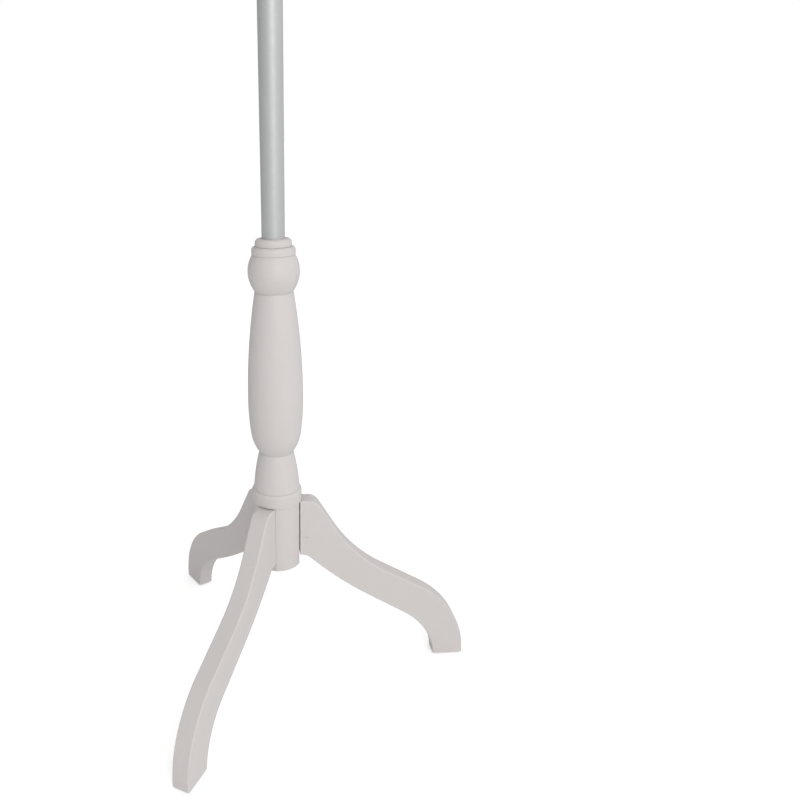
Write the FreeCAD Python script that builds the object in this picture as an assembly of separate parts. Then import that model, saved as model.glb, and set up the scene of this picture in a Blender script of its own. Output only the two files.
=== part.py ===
import FreeCAD, Part
import math
import os

# Tripod floor lamp: a turned wooden column with three shaped legs, a steel tube and a shaded lampholder.
# Millimetres, +Z up. The origin is on the floor, on the column's axis. The right leg points along +X.

# ---- Drawing tolerances -------------------------------------------------------------------------
OVERCUT = 1.0                               # how far a cutting shape runs past the face it cuts
TOUCH = 1e-3                                # closer than this counts as touching

# ---- Driving dimensions: legs -------------------------------------------------------------------
LEG_NAMES = ("right", "back", "front")      # at 0, 120 and 240 degrees about +Z
LEG_THICK = 21.0
LEG_EDGE_ROUND = 1.4
LEG_TOP_Z = 234.2
LEG_END_HEIGHT = 74.3                       # of the leg's inner end, where it meets the hub
FOOT_PAD_THICK = 2.0
FOOT_PAD_INSET = 2.5
# upper edge, from the hub outwards: straight lengths, arc radii and headings below the horizontal
UPPER_SHELF = 10.0
UPPER_SHOULDER_R = 16.4
UPPER_STEEP_DEG = 58.7
UPPER_STEEP_RUN = 38.5
UPPER_HOLLOW_R = 173.9
UPPER_SHALLOW_DEG = 29.9
UPPER_SHALLOW_RUN = 56.7
UPPER_KNEE_R = 115.7
# lower edge, the same way
LOWER_START_DEG = 6.0
LOWER_SHELF = 4.3
LOWER_CORNER_R = 13.6
LOWER_STEEP_DEG = 44.1
LOWER_HOLLOW_R = 458.0
LOWER_SHALLOW_DEG = 31.8
LOWER_SHALLOW_RUN = 52.9
LOWER_KNEE_R = 86.4

# ---- Driving dimensions: column -----------------------------------------------------------------
HUB_R = 28.2
HUB_FLAT_DEPTH = 2.2                        # of the flat milled for each leg
HUB_BELOW_LEG = 11.0                        # how far the hub hangs below the legs' inner ends
COLLAR_LIP = 1.6                            # how far the collar stands out from the hub
COLLAR_HEIGHT = 17.0
CONE_HEIGHT = 45.3
CONE_SET_IN = 2.5                           # of the cone's foot from the collar's side
CONE_TOP_R = 20.4
CONE_SWELL = 1.0                            # how far the cone's side bulges past a straight line
VASE_HEIGHT = 189.8
VASE_R = 31.7
VASE_WIDEST_UP = 63.5                       # height of the widest place above the vase's foot
VASE_FOOT_R = 19.9
VASE_TOP_R = 21.6
VASE_BELLY_R = 310.0
VASE_BELLY_DROP = 39.4                      # the gentle arc below the widest place ends here
BALL_HEIGHT = 40.0
BALL_R = 28.4
BALL_WIDEST_UP = 22.0
BALL_FOOT_R = 20.9
BALL_TOP_R = 23.3
LOW_BEAD_R = 23.9
LOW_BEAD_HEIGHT = 8.7
TOP_BEAD_R = 20.0
TOP_BEAD_HEIGHT = 8.2
CREASE = 0.6                                # height of the small step between turned features
TOP_BEAD_ROUND = 4.5
LOW_BEAD_ROUND = 3.6
COLLAR_ROUND = 4.0
BEAD_TUCK = 0.5                             # rounding of each bead's lower edge
COLLAR_TUCK = 0.8                           # rounding of the collar's lower edge
HUB_FOOT_ROUND = 1.2

# ---- Driving dimensions: tube and tie -----------------------------------------------------------
POLE_D = 25.0
POLE_WALL = 1.2
POLE_SOCKET_DEPTH = 70.0
POLE_LOWER_LENGTH = 385.0
POLE_UPPER_LENGTH = 338.0
POLE_FIT = 0.1                              # radial clearance of the tube in its socket and its plugs
PLUG_LENGTH = 15.0
COUPLER_COLLAR = 2.5
COUPLER_SPIGOT = 30.0
CORD_WAY_D = 8.0
TIE_D = 10.0
TIE_BORE_D = 7.6
THREAD_FIT = 0.05                           # radial clearance of a threaded pair, drawn plain
TIE_HOLE_D = 11.0
NUT_POCKET_D = 31.0
NUT_POCKET_DEPTH = 16.0
TIE_WASHER_D = 28.0
TIE_WASHER_THICK = 2.0
NUT_FLATS = 14.0
NUT_HEIGHT = 5.0
TIE_END_SHOWING = 4.0
GROMMET_FLANGE_D = 12.0
GROMMET_FLANGE_THICK = 1.5
GROMMET_LENGTH = 9.0
GROMMET_BORE_D = 6.0

# ---- Driving dimensions: leg fastenings ---------------------------------------------------------
LEG_GAPS = {"right": 1.2, "back": 0.2, "front": 0.2}   # between each leg and its flat
STUD_COLLAR_THICK = 1.2
STUD_COLLAR_SINK = 1.0                      # how far a tight stud's collar lies in the leg's end
PLATE_WIDTH = 16.0
PLATE_LENGTH = 68.0
PLATE_THICK = 2.0
PLATE_SCREW_SPACING = 56.0
STUD_SPACING = 24.0
STUD_ABOVE_MIDDLE = 4.0
STUD_SHOULDER_D = 5.0
STUD_HEAD_D = 9.0
STUD_HEAD_HEIGHT = 2.0
STUD_SHANK_D = 4.0
STUD_SHANK_LENGTH = 20.0
STUD_HOLE_SPARE = 1.0
KEYHOLE_DROP = 11.0
KEYHOLE_SPACE = 0.3                         # radial space round a stud in its keyhole
HEAD_POCKET_DEPTH = 4.2
HEAD_POCKET_SPACE = 0.6                     # round the studs' heads as they slide down
PLATE_SCREW_D = 3.0
PLATE_SCREW_HEAD_D = 6.0
PLATE_SCREW_LENGTH = 6.0

# ---- Driving dimensions: head -------------------------------------------------------------------
CAP_THICK = 3.0
CAP_ROUND = 1.0
NIPPLE_ABOVE_SADDLE = 12.0
HEAD_NUT_HEIGHT = 4.0
SADDLE_THICK = 1.5
SADDLE_WIDTH = 12.0
SADDLE_HALF_SPAN = 25.0
SADDLE_TONGUE = 20.0
TONGUE_WIDTH = 3.4
HOLDER_SKIN = 0.7
HOLDER_CAP_HEIGHT = 22.0
HOLDER_SHELL_START = 14.0                   # above the saddle
HOLDER_SHELL_HEIGHT = 48.0
LINER_SKIN = 0.6
HOLDER_SPACE = 0.1                          # radial space between the nested sleeves
HOLDER_AIR = 0.5                            # between the screw shell and the insulating sleeve
SWITCH_BODY_START = 17.0
SWITCH_BODY_HEIGHT = 19.0
SCREW_SHELL_HEIGHT = 22.0
SCREW_SHELL_SKIN = 0.4
CONTACT_R = 3.0
CONTACT_HEIGHT = 2.0
KEY_SPINDLE_D = 5.0
KEY_FIT = 0.08
KEY_REACH = 17.0                            # spindle length outside the holder
KEY_KNOB_R = 6.0
KEY_KNOB_LENGTH = 11.0
KEY_KNOB_THICK = 4.0
KEY_KNOB_ROUND = 1.2
KEY_END_PLAY = 0.3
KEY_INNER_R = 6.0                           # where the spindle ends inside the switch body
BULB_R = 30.0
BULB_BASE_R = 13.15
BULB_BASE_HEIGHT = 24.0
BULB_TIP_TAPER = 3.0                        # how far the base draws in below its thread
BULB_TIP_HEIGHT = 4.0
BULB_THREAD_START = 6.0                     # above the tip
BULB_NECK_R = 12.4
BULB_LENGTH = 84.0
BULB_SKIN = 0.8
BULB_JOIN_DEG = 35.0                        # below the globe's equator, where the neck meets it

# ---- Driving dimensions: harp and shade ---------------------------------------------------------
HARP_HEIGHT = 246.0                         # from the saddle's top to the top of the harp's eye
HARP_HALF_WIDTH = 57.0
HARP_WIRE_D = 3.6
HARP_EYE_D = 13.0
HARP_EYE_THICK = 4.4
HARP_SHANK = 12.0                           # straight wire above the sleeves
HARP_FLARE = 50.0                           # height over which the wire spreads
HARP_FOOT_BEND = 15.0
HARP_SHOULDER_BEND = 48.0
HARP_WIRE_GAP = 0.3                         # between the wire's end and the saddle's tongue
SLEEVE_LENGTH = 18.0
SLEEVE_OVERLAP = 10.0                       # how far each sleeve reaches down over the tongue
SLEEVE_WALL = 0.9
STUD_BOLT_D = 6.2
STUD_FLANGE_D = 12.0
STUD_FLANGE_THICK = 1.5
STUD_BOLT_LENGTH = 16.0
STUD_FIT = 0.07
STUD_HEAD_LIP = 2.0
SPIN_GAP = 0.1                              # above and below the eye that the stud turns in
SHADE_BOTTOM_R = 245.0
SHADE_TOP_R = 130.0
SHADE_HEIGHT = 290.0
SHADE_SKIN = 1.0
SHADE_RECESS = 12.0                         # from the shade's top edge down to the spider's hub
SHADE_WIRE_D = 3.0
SPIDER_HUB_D = 26.0
SPIDER_HUB_THICK = 2.0
SPIDER_ARM_D = 1.9
SHADE_RING_SPACE = 0.05
SPIDER_ARM_DEGREES = (60.0, 180.0, 300.0)
TRIM_HEIGHT = 12.0
TRIM_THICK = 0.6
FINIAL_R = 9.0
FINIAL_HEIGHT = 30.0
FINIAL_NECK_R = 4.6
FINIAL_FOOT_R = 7.5
FINIAL_FOOT_HEIGHT = 2.5

# ---- Worked out from the sizes above ------------------------------------------------------------
LEG_ROOT_Z = LEG_TOP_Z - LEG_END_HEIGHT       # lower corner of the leg's inner end
HUB_SEAT_R = HUB_R - HUB_FLAT_DEPTH
COLLAR_R = HUB_R + COLLAR_LIP
CONE_BASE_R = COLLAR_R - CONE_SET_IN
COLUMN_BOTTOM_Z = LEG_ROOT_Z - HUB_BELOW_LEG
COLLAR_Z = LEG_TOP_Z + CREASE
CONE_Z = COLLAR_Z + COLLAR_HEIGHT + CREASE
VASE_Z = CONE_Z + CONE_HEIGHT
BALL_Z = VASE_Z + VASE_HEIGHT
LOW_BEAD_Z = BALL_Z + BALL_HEIGHT
TOP_BEAD_Z = LOW_BEAD_Z + LOW_BEAD_HEIGHT
COLUMN_TOP_Z = TOP_BEAD_Z + TOP_BEAD_HEIGHT
SOCKET_FLOOR_Z = COLUMN_TOP_Z - POLE_SOCKET_DEPTH
JOINT_Z = SOCKET_FLOOR_Z + POLE_LOWER_LENGTH
POLE_UPPER_Z = JOINT_Z + COUPLER_COLLAR
POLE_TOP_Z = POLE_UPPER_Z + POLE_UPPER_LENGTH
POLE_R = POLE_D / 2
POLE_BORE_R = POLE_R - POLE_WALL
PLUG_R = POLE_BORE_R - POLE_FIT
LEG_FACE_R = HUB_SEAT_R + STUD_COLLAR_THICK   # where a leg is drawn, before it is pushed up to its gap
LEG_MIDDLE_Z = (LEG_TOP_Z + LEG_ROOT_Z) / 2
STUD_Z = [LEG_MIDDLE_Z + STUD_ABOVE_MIDDLE + side * STUD_SPACING / 2 for side in (-1, 1)]
PLATE_SCREW_Z = [LEG_MIDDLE_Z + side * PLATE_SCREW_SPACING / 2 for side in (-1, 1)]
NUT_POCKET_TOP_Z = COLUMN_BOTTOM_Z + NUT_POCKET_DEPTH
TIE_WASHER_Z = NUT_POCKET_TOP_Z - TIE_WASHER_THICK
TIE_NUT_Z = TIE_WASHER_Z - NUT_HEIGHT
TIE_BOTTOM_Z = TIE_NUT_Z - TIE_END_SHOWING
HEAD_NUT_Z = POLE_TOP_Z + CAP_THICK
SADDLE_Z = HEAD_NUT_Z + HEAD_NUT_HEIGHT
HOLDER_Z = SADDLE_Z + SADDLE_THICK
KEY_Z = HOLDER_Z + SWITCH_BODY_START + SWITCH_BODY_HEIGHT / 2
CONTACT_Z = HOLDER_Z + SWITCH_BODY_START + SWITCH_BODY_HEIGHT
BULB_BASE_Z = CONTACT_Z + CONTACT_HEIGHT
SCREW_R = BULB_BASE_R + HOLDER_SPACE + SCREW_SHELL_SKIN
LINER_R = SCREW_R + HOLDER_AIR + LINER_SKIN
HOLDER_R = LINER_R + HOLDER_SPACE + HOLDER_SKIN
HARP_TOP_Z = HOLDER_Z + HARP_HEIGHT
SPIDER_Z = HARP_TOP_Z + SPIN_GAP + STUD_FLANGE_THICK
SHADE_TOP_Z = SPIDER_Z + SHADE_RECESS
SHADE_BOTTOM_Z = SHADE_TOP_Z - SHADE_HEIGHT
SHADE_SLOPE = (SHADE_BOTTOM_R - SHADE_TOP_R) / SHADE_HEIGHT
SHADE_LEAN = math.hypot(1.0, SHADE_SLOPE)   # a level distance across the cone per unit square to it

os.makedirs("parts", exist_ok=True)


# ---- Drawing helpers ----------------------------------------------------------------------------
def vec(r, z):
    """A point in the half plane through the axis."""
    return FreeCAD.Vector(r, 0, z)


OUTWARD = vec(1, 0)
DOWN = vec(0, -1)
UP = vec(0, 1)


def save(name, shape):
    shape.exportStep("parts/" + name + ".step")


def revolve(edges):
    """A solid of revolution about Z from a closed outline."""
    face = Part.Face(Part.Wire(edges))
    return face.revolve(FreeCAD.Vector(0, 0, 0), FreeCAD.Vector(0, 0, 1), 360)


def chain(points):
    """Straight edges through the points, skipping any that repeat."""
    edges = []
    for first, second in zip(points, points[1:]):
        if (second - first).Length > TOUCH:
            edges.append(Part.LineSegment(first, second).toShape())
    return edges


def turned(points):
    """A solid of revolution from a closed list of (r, z) corners."""
    corners = [vec(r, z) for r, z in points]
    return revolve(chain(corners + corners[:1]))


class Outline:
    """A turned outline: one connected run of lines and arcs in the half plane through the axis."""

    def __init__(self, r, z):
        self.start = vec(r, z)
        self.here = self.start
        self.edges = []

    def line(self, r, z):
        there = vec(r, z)
        self.edges += chain([self.here, there])
        self.here = there

    def bow(self, r, z, sag):
        """An arc whose middle stands off its chord by sag, to the left of the way that it goes."""
        there = vec(r, z)
        way = (there - self.here).normalize()
        middle = (self.here + there) * 0.5 + vec(-way.z, way.x) * sag
        self.edges.append(Part.Arc(self.here, middle, there).toShape())
        self.here = there

    def turn_between(self, way, chord):
        """The angle from way to chord, positive where the chord lies to the left."""
        cross = way.x * chord.z - way.z * chord.x
        return math.atan2(cross, way.x * chord.x + way.z * chord.z)

    def leave(self, r, z, way):
        """The arc that leaves this point along way."""
        chord = vec(r, z) - self.here
        self.bow(r, z, -chord.Length / 2 * math.tan(self.turn_between(way, chord) / 2))

    def arrive(self, r, z, way):
        """The arc that reaches the next point along way."""
        chord = vec(r, z) - self.here
        self.bow(r, z, chord.Length / 2 * math.tan(self.turn_between(way, chord) / 2))

    def bead(self, z_high, z_low, radius, top_round, low_round):
        """A turned band, from the top down: rounded top edge, plain side, rounded lower edge."""
        self.line(radius - top_round, z_high)
        self.leave(radius, z_high - top_round, OUTWARD)
        self.line(radius, z_low + low_round)
        self.leave(radius - low_round, z_low, DOWN)

    def solid(self):
        return revolve(self.edges + chain([self.here, self.start]))


def tube(outer_r, inner_r, z_low, height):
    """An upright tube, or a rod where inner_r is zero."""
    base = FreeCAD.Vector(0, 0, z_low)
    rod = Part.makeCylinder(outer_r, height, base)
    if inner_r > 0:
        rod = rod.cut(Part.makeCylinder(inner_r, height, base))
    return rod


def hex_nut(flats, bore_r, z_low, height):
    corner_r = flats / math.sqrt(3)
    corners = []
    for step in range(7):
        turn = math.radians(60 * step)
        corners.append(FreeCAD.Vector(corner_r * math.cos(turn), corner_r * math.sin(turn), z_low))
    block = Part.Face(Part.makePolygon(corners)).extrude(FreeCAD.Vector(0, 0, height))
    return block.cut(tube(bore_r, 0, z_low, height))


def rod_along_x(radius, x_low, x_high, z):
    return Part.makeCylinder(radius, x_high - x_low, FreeCAD.Vector(x_low, 0, z), FreeCAD.Vector(1, 0, 0))


def slab_along_x(width, z_low, z_high, x_low, x_high):
    """An upright slab with round ends, width across Y, seen along X."""
    half = width / 2
    corner = FreeCAD.Vector(x_low, -half, z_low + half)
    block = Part.makeBox(x_high - x_low, width, z_high - z_low - width, corner)
    for z in (z_low + half, z_high - half):
        block = block.fuse(rod_along_x(half, x_low, x_high, z))
    return block.removeSplitter()


def about_axis(shape, degrees):
    copy = shape.copy()
    copy.rotate(FreeCAD.Vector(0, 0, 0), FreeCAD.Vector(0, 0, 1), degrees)
    return copy


def three_legs():
    """Each leg's name with its angle about the axis."""
    return [(name, 120.0 * index) for index, name in enumerate(LEG_NAMES)]


def swept(points, radii, wire_r):
    """A round bar along straight runs joined by tangent arcs, one radius per inner point."""
    edges = []
    last = points[0]
    for before, corner, after, radius in zip(points, points[1:], points[2:], radii):
        into = (corner - before).normalize()
        out = (after - corner).normalize()
        turn = into.getAngle(out)
        reach = radius * math.tan(turn / 2)
        start = corner - into * reach
        end = corner + out * reach
        inside = (out - into).normalize()
        middle = corner + inside * (radius / math.cos(turn / 2) - radius)
        if (start - last).Length > TOUCH:
            edges.append(Part.LineSegment(last, start).toShape())
        edges.append(Part.Arc(start, middle, end).toShape())
        last = end
    edges.append(Part.LineSegment(last, points[-1]).toShape())
    path = Part.Wire(edges)
    circle = Part.Wire([Part.Circle(points[0], points[1] - points[0], wire_r).toShape()])
    return path.makePipeShell([circle], True, False)


# ---- Legs ---------------------------------------------------------------------------------------
def leg_edge(start, heading, steps):
    """Lines and tangent arcs from start; headings are degrees below the horizontal, going outwards."""
    edges = []
    here = start
    for kind, amount, new_heading in steps:
        angle = math.radians(heading)
        if kind == "line":
            there = here + vec(math.cos(angle), -math.sin(angle)) * amount
            edges.append(Part.LineSegment(here, there).toShape())
        else:
            side = 1 if new_heading > heading else -1
            centre = here - vec(math.sin(angle), math.cos(angle)) * amount * side
            middle_angle = math.radians((heading + new_heading) / 2)
            end_angle = math.radians(new_heading)
            middle = centre + vec(math.sin(middle_angle), math.cos(middle_angle)) * amount * side
            there = centre + vec(math.sin(end_angle), math.cos(end_angle)) * amount * side
            edges.append(Part.Arc(here, middle, there).toShape())
        heading = new_heading
        here = there
    return edges, here


def leg_edge_to_sole(start, heading, steps, knee_r):
    """A leg edge that ends in the knee's arc, turned down to the sole and never past upright."""
    edges, here = leg_edge(start, heading, steps)
    last_heading = steps[-1][2]
    drop = (here.z - FOOT_PAD_THICK) / knee_r
    end_heading = math.degrees(math.acos(max(math.cos(math.radians(last_heading)) - drop, 0.0)))
    knee, here = leg_edge(here, last_heading, [("arc", knee_r, end_heading)])
    sole = vec(here.x, FOOT_PAD_THICK)
    return edges + knee + chain([here, sole]), sole


def leg_outline():
    upper, toe = leg_edge_to_sole(vec(LEG_FACE_R, LEG_TOP_Z), 0.0, [
        ("line", UPPER_SHELF, 0.0),
        ("arc", UPPER_SHOULDER_R, UPPER_STEEP_DEG),
        ("line", UPPER_STEEP_RUN, UPPER_STEEP_DEG),
        ("arc", UPPER_HOLLOW_R, UPPER_SHALLOW_DEG),
        ("line", UPPER_SHALLOW_RUN, UPPER_SHALLOW_DEG)], UPPER_KNEE_R)
    lower, heel = leg_edge_to_sole(vec(LEG_FACE_R, LEG_ROOT_Z), LOWER_START_DEG, [
        ("line", LOWER_SHELF, LOWER_START_DEG),
        ("arc", LOWER_CORNER_R, LOWER_STEEP_DEG),
        ("arc", LOWER_HOLLOW_R, LOWER_SHALLOW_DEG),
        ("line", LOWER_SHALLOW_RUN, LOWER_SHALLOW_DEG)], LOWER_KNEE_R)
    inner_end = chain([vec(LEG_FACE_R, LEG_ROOT_Z), vec(LEG_FACE_R, LEG_TOP_Z)])
    return upper + chain([toe, heel]) + lower[::-1] + inner_end, heel.x, toe.x


def make_leg():
    edges, heel_x, toe_x = leg_outline()
    face = Part.Face(Part.Wire(edges))
    board = face.extrude(FreeCAD.Vector(0, LEG_THICK, 0))
    board.translate(FreeCAD.Vector(0, -LEG_THICK / 2, 0))
    arrises = [edge for edge in board.Edges
               if edge.BoundBox.YLength < TOUCH and edge.BoundBox.ZMax > FOOT_PAD_THICK + TOUCH
               and edge.BoundBox.XMin > LEG_FACE_R - TOUCH and edge.BoundBox.XLength > TOUCH]
    board = board.makeFillet(LEG_EDGE_ROUND, arrises)
    for z in STUD_Z:
        hole_end = LEG_FACE_R + STUD_COLLAR_SINK + STUD_SHANK_LENGTH + STUD_HOLE_SPARE
        board = board.cut(rod_along_x(STUD_SHANK_D / 2 + THREAD_FIT, LEG_FACE_R - OVERCUT, hole_end, z))
        board = board.cut(rod_along_x(STUD_HEAD_D / 2 + KEYHOLE_SPACE, LEG_FACE_R - OVERCUT,
                                      LEG_FACE_R + STUD_COLLAR_SINK, z))
    pad = Part.makeBox(toe_x - heel_x - 2 * FOOT_PAD_INSET, LEG_THICK - 2 * FOOT_PAD_INSET, FOOT_PAD_THICK,
                       FreeCAD.Vector(heel_x + FOOT_PAD_INSET, FOOT_PAD_INSET - LEG_THICK / 2, 0))
    return board, pad


def pushed_up(shape, name):
    """The leg or its pad, moved along X so that the leg stands off its flat by its own gap."""
    copy = shape.copy()
    copy.translate(FreeCAD.Vector(LEG_GAPS[name] - STUD_COLLAR_THICK, 0, 0))
    return copy


def make_stud(z):
    """A shouldered screw along X: shank in the leg, collar on the flat, head behind the keyhole plate."""
    head_x = HUB_SEAT_R - PLATE_THICK - KEYHOLE_SPACE
    stud = rod_along_x(STUD_SHANK_D / 2, LEG_FACE_R, LEG_FACE_R + STUD_SHANK_LENGTH, z)
    stud = stud.fuse(rod_along_x(STUD_HEAD_D / 2, HUB_SEAT_R, LEG_FACE_R, z))
    stud = stud.fuse(rod_along_x(STUD_SHOULDER_D / 2, head_x, HUB_SEAT_R, z))
    return stud.fuse(rod_along_x(STUD_HEAD_D / 2, head_x - STUD_HEAD_HEIGHT, head_x, z))


def make_plate():
    """A keyhole plate, flush with the hub's flat."""
    half = PLATE_LENGTH / 2
    inner_x = HUB_SEAT_R - PLATE_THICK
    plate = slab_along_x(PLATE_WIDTH, LEG_MIDDLE_Z - half, LEG_MIDDLE_Z + half, inner_x, HUB_SEAT_R)
    for z in STUD_Z:
        slot_r = STUD_SHOULDER_D / 2 + KEYHOLE_SPACE
        plate = plate.cut(slab_along_x(2 * slot_r, z - KEYHOLE_DROP, z + slot_r, inner_x, HUB_SEAT_R))
        head_hole_r = STUD_HEAD_D / 2 + KEYHOLE_SPACE
        plate = plate.cut(rod_along_x(head_hole_r, inner_x, HUB_SEAT_R, z - KEYHOLE_DROP))
    for z in PLATE_SCREW_Z:
        plate = plate.cut(plate_screw(z, THREAD_FIT))
    return plate


def plate_screw(z, space):
    """A countersunk screw along X with its head flush; space widens it for the hole that it leaves."""
    shank_r = PLATE_SCREW_D / 2 + space
    head_r = PLATE_SCREW_HEAD_D / 2 + space
    head = Part.makeCone(shank_r, head_r, PLATE_THICK, FreeCAD.Vector(HUB_SEAT_R - PLATE_THICK, 0, z),
                         FreeCAD.Vector(1, 0, 0))
    shank_end = HUB_SEAT_R - PLATE_THICK - PLATE_SCREW_LENGTH - space
    return head.fuse(rod_along_x(shank_r, shank_end, HUB_SEAT_R - PLATE_THICK, z))


def hub_pocket():
    """What each leg's fastening takes out of the hub: the recess, the head pocket and the screw holes."""
    half = PLATE_LENGTH / 2 + KEYHOLE_SPACE
    inner_x = HUB_SEAT_R - PLATE_THICK
    beyond = HUB_R + OVERCUT
    pocket = Part.makeBox(HUB_R, 2 * HUB_R, COLLAR_Z - COLUMN_BOTTOM_Z,
                          FreeCAD.Vector(HUB_SEAT_R, -HUB_R, COLUMN_BOTTOM_Z))
    recess_width = PLATE_WIDTH + 2 * KEYHOLE_SPACE
    recess = slab_along_x(recess_width, LEG_MIDDLE_Z - half, LEG_MIDDLE_Z + half, inner_x, beyond)
    pocket = pocket.fuse(recess)
    head_room = STUD_HEAD_D + 2 * HEAD_POCKET_SPACE
    pocket = pocket.fuse(slab_along_x(head_room, STUD_Z[0] - KEYHOLE_DROP - head_room / 2,
                                      STUD_Z[1] + head_room / 2, inner_x - HEAD_POCKET_DEPTH, beyond))
    for z in PLATE_SCREW_Z:
        pocket = pocket.fuse(plate_screw(z, THREAD_FIT))
    return pocket


# ---- Column -------------------------------------------------------------------------------------
def column_blank():
    """The turned column, from the socket's rim down the outside to the hub's foot."""
    outline = Outline(0, COLUMN_TOP_Z)
    outline.bead(COLUMN_TOP_Z, TOP_BEAD_Z, TOP_BEAD_R, TOP_BEAD_ROUND, BEAD_TUCK)
    outline.bead(TOP_BEAD_Z, LOW_BEAD_Z, LOW_BEAD_R, LOW_BEAD_ROUND, BEAD_TUCK)
    outline.line(BALL_TOP_R, LOW_BEAD_Z)
    outline.arrive(BALL_R, BALL_Z + BALL_WIDEST_UP, DOWN)
    outline.leave(BALL_FOOT_R, BALL_Z, DOWN)
    outline.line(VASE_TOP_R, BALL_Z - CREASE)
    outline.arrive(VASE_R, VASE_Z + VASE_WIDEST_UP, DOWN)
    belly_turn = math.asin(VASE_BELLY_DROP / VASE_BELLY_R)
    belly_in = VASE_BELLY_R * (1 - math.cos(belly_turn))
    outline.leave(VASE_R - belly_in, VASE_Z + VASE_WIDEST_UP - VASE_BELLY_DROP, DOWN)
    outline.leave(VASE_FOOT_R, VASE_Z + CREASE, vec(-math.sin(belly_turn), -math.cos(belly_turn)))
    outline.line(CONE_TOP_R, VASE_Z)
    outline.bow(CONE_BASE_R, CONE_Z, CONE_SWELL)
    outline.line(CONE_BASE_R, CONE_Z - CREASE)
    outline.bead(CONE_Z - CREASE, COLLAR_Z, COLLAR_R, COLLAR_ROUND, COLLAR_TUCK)
    outline.line(HUB_R, COLLAR_Z)
    outline.line(HUB_R, COLUMN_BOTTOM_Z + HUB_FOOT_ROUND)
    outline.leave(HUB_R - HUB_FOOT_ROUND, COLUMN_BOTTOM_Z, DOWN)
    outline.line(0, COLUMN_BOTTOM_Z)
    return outline.solid()


def make_column():
    column = column_blank()
    column = column.cut(tube(POLE_R + POLE_FIT, 0, SOCKET_FLOOR_Z, POLE_SOCKET_DEPTH + OVERCUT))
    tie_hole_length = SOCKET_FLOOR_Z - COLUMN_BOTTOM_Z + 2 * OVERCUT
    column = column.cut(tube(TIE_HOLE_D / 2, 0, COLUMN_BOTTOM_Z - OVERCUT, tie_hole_length))
    column = column.cut(tube(NUT_POCKET_D / 2, 0, COLUMN_BOTTOM_Z - OVERCUT, NUT_POCKET_DEPTH + OVERCUT))
    for name, degrees in three_legs():
        column = column.cut(about_axis(hub_pocket(), degrees))
    return column


# ---- Tube and tie -------------------------------------------------------------------------------
def make_pole():
    """The two lengths of tube, the threaded plug in the foot, the joint and the cap."""
    tie_hole_r = TIE_D / 2 + THREAD_FIT
    save("pole_lower", tube(POLE_R, POLE_BORE_R, SOCKET_FLOOR_Z, POLE_LOWER_LENGTH))
    save("pole_upper", tube(POLE_R, POLE_BORE_R, POLE_UPPER_Z, POLE_UPPER_LENGTH))
    save("pole_foot", tube(PLUG_R, tie_hole_r, SOCKET_FLOOR_Z, PLUG_LENGTH))
    spigots = tube(PLUG_R, 0, JOINT_Z - COUPLER_SPIGOT, COUPLER_COLLAR + 2 * COUPLER_SPIGOT)
    coupler = spigots.fuse(tube(POLE_R, 0, JOINT_Z, COUPLER_COLLAR))
    save("pole_coupler", coupler.cut(tube(CORD_WAY_D / 2, 0, SOCKET_FLOOR_Z, POLE_TOP_Z - SOCKET_FLOOR_Z)))
    cap = tube(PLUG_R, 0, POLE_TOP_Z - PLUG_LENGTH, PLUG_LENGTH)
    cap = cap.fuse(tube(POLE_R, 0, POLE_TOP_Z, CAP_THICK))
    rim = [edge for edge in cap.Edges if abs(edge.BoundBox.ZMin - POLE_TOP_Z - CAP_THICK) < TOUCH
           and abs(edge.BoundBox.XMax - POLE_R) < TOUCH and edge.BoundBox.ZLength < TOUCH]
    cap = cap.makeFillet(CAP_ROUND, rim)
    hole_length = PLUG_LENGTH + CAP_THICK + 2 * OVERCUT
    save("pole_cap", cap.cut(tube(tie_hole_r, 0, POLE_TOP_Z - PLUG_LENGTH - OVERCUT, hole_length)))


def make_tie():
    """The hollow threaded rod that draws the tube down into the column, and what is on its lower end."""
    tie_top_z = SOCKET_FLOOR_Z + PLUG_LENGTH
    save("tie_tube", tube(TIE_D / 2, TIE_BORE_D / 2, TIE_BOTTOM_Z, tie_top_z - TIE_BOTTOM_Z))
    hole_r = TIE_D / 2 + THREAD_FIT
    save("tie_washer", tube(TIE_WASHER_D / 2, hole_r, TIE_WASHER_Z, TIE_WASHER_THICK))
    save("tie_nut", hex_nut(NUT_FLATS, hole_r, TIE_NUT_Z, NUT_HEIGHT))
    sleeve_length = GROMMET_LENGTH - GROMMET_FLANGE_THICK
    bushing = tube(TIE_BORE_D / 2 - THREAD_FIT, 0, TIE_BOTTOM_Z, sleeve_length)
    flange_z = TIE_BOTTOM_Z - GROMMET_FLANGE_THICK
    bushing = bushing.fuse(tube(GROMMET_FLANGE_D / 2, 0, flange_z, GROMMET_FLANGE_THICK))
    way_z = flange_z - OVERCUT
    way = tube(GROMMET_BORE_D / 2, 0, way_z, GROMMET_LENGTH + 2 * OVERCUT)
    save("cord_grommet", bushing.cut(way))


# ---- Head ---------------------------------------------------------------------------------------
def make_saddle():
    """The strip that carries the harp: flat on the pole's nut, with a tongue turned up at each end."""
    strip = Part.makeBox(2 * SADDLE_HALF_SPAN, SADDLE_WIDTH, SADDLE_THICK,
                         FreeCAD.Vector(-SADDLE_HALF_SPAN, -SADDLE_WIDTH / 2, SADDLE_Z))
    for side in (-1, 1):
        x_low = side * SADDLE_HALF_SPAN - SADDLE_THICK / 2
        corner = FreeCAD.Vector(x_low, -TONGUE_WIDTH / 2, SADDLE_Z)
        strip = strip.fuse(Part.makeBox(SADDLE_THICK, TONGUE_WIDTH, SADDLE_TONGUE, corner))
    return strip.cut(tube(TIE_D / 2 + THREAD_FIT, 0, SADDLE_Z - OVERCUT, SADDLE_THICK + 2 * OVERCUT))


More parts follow.
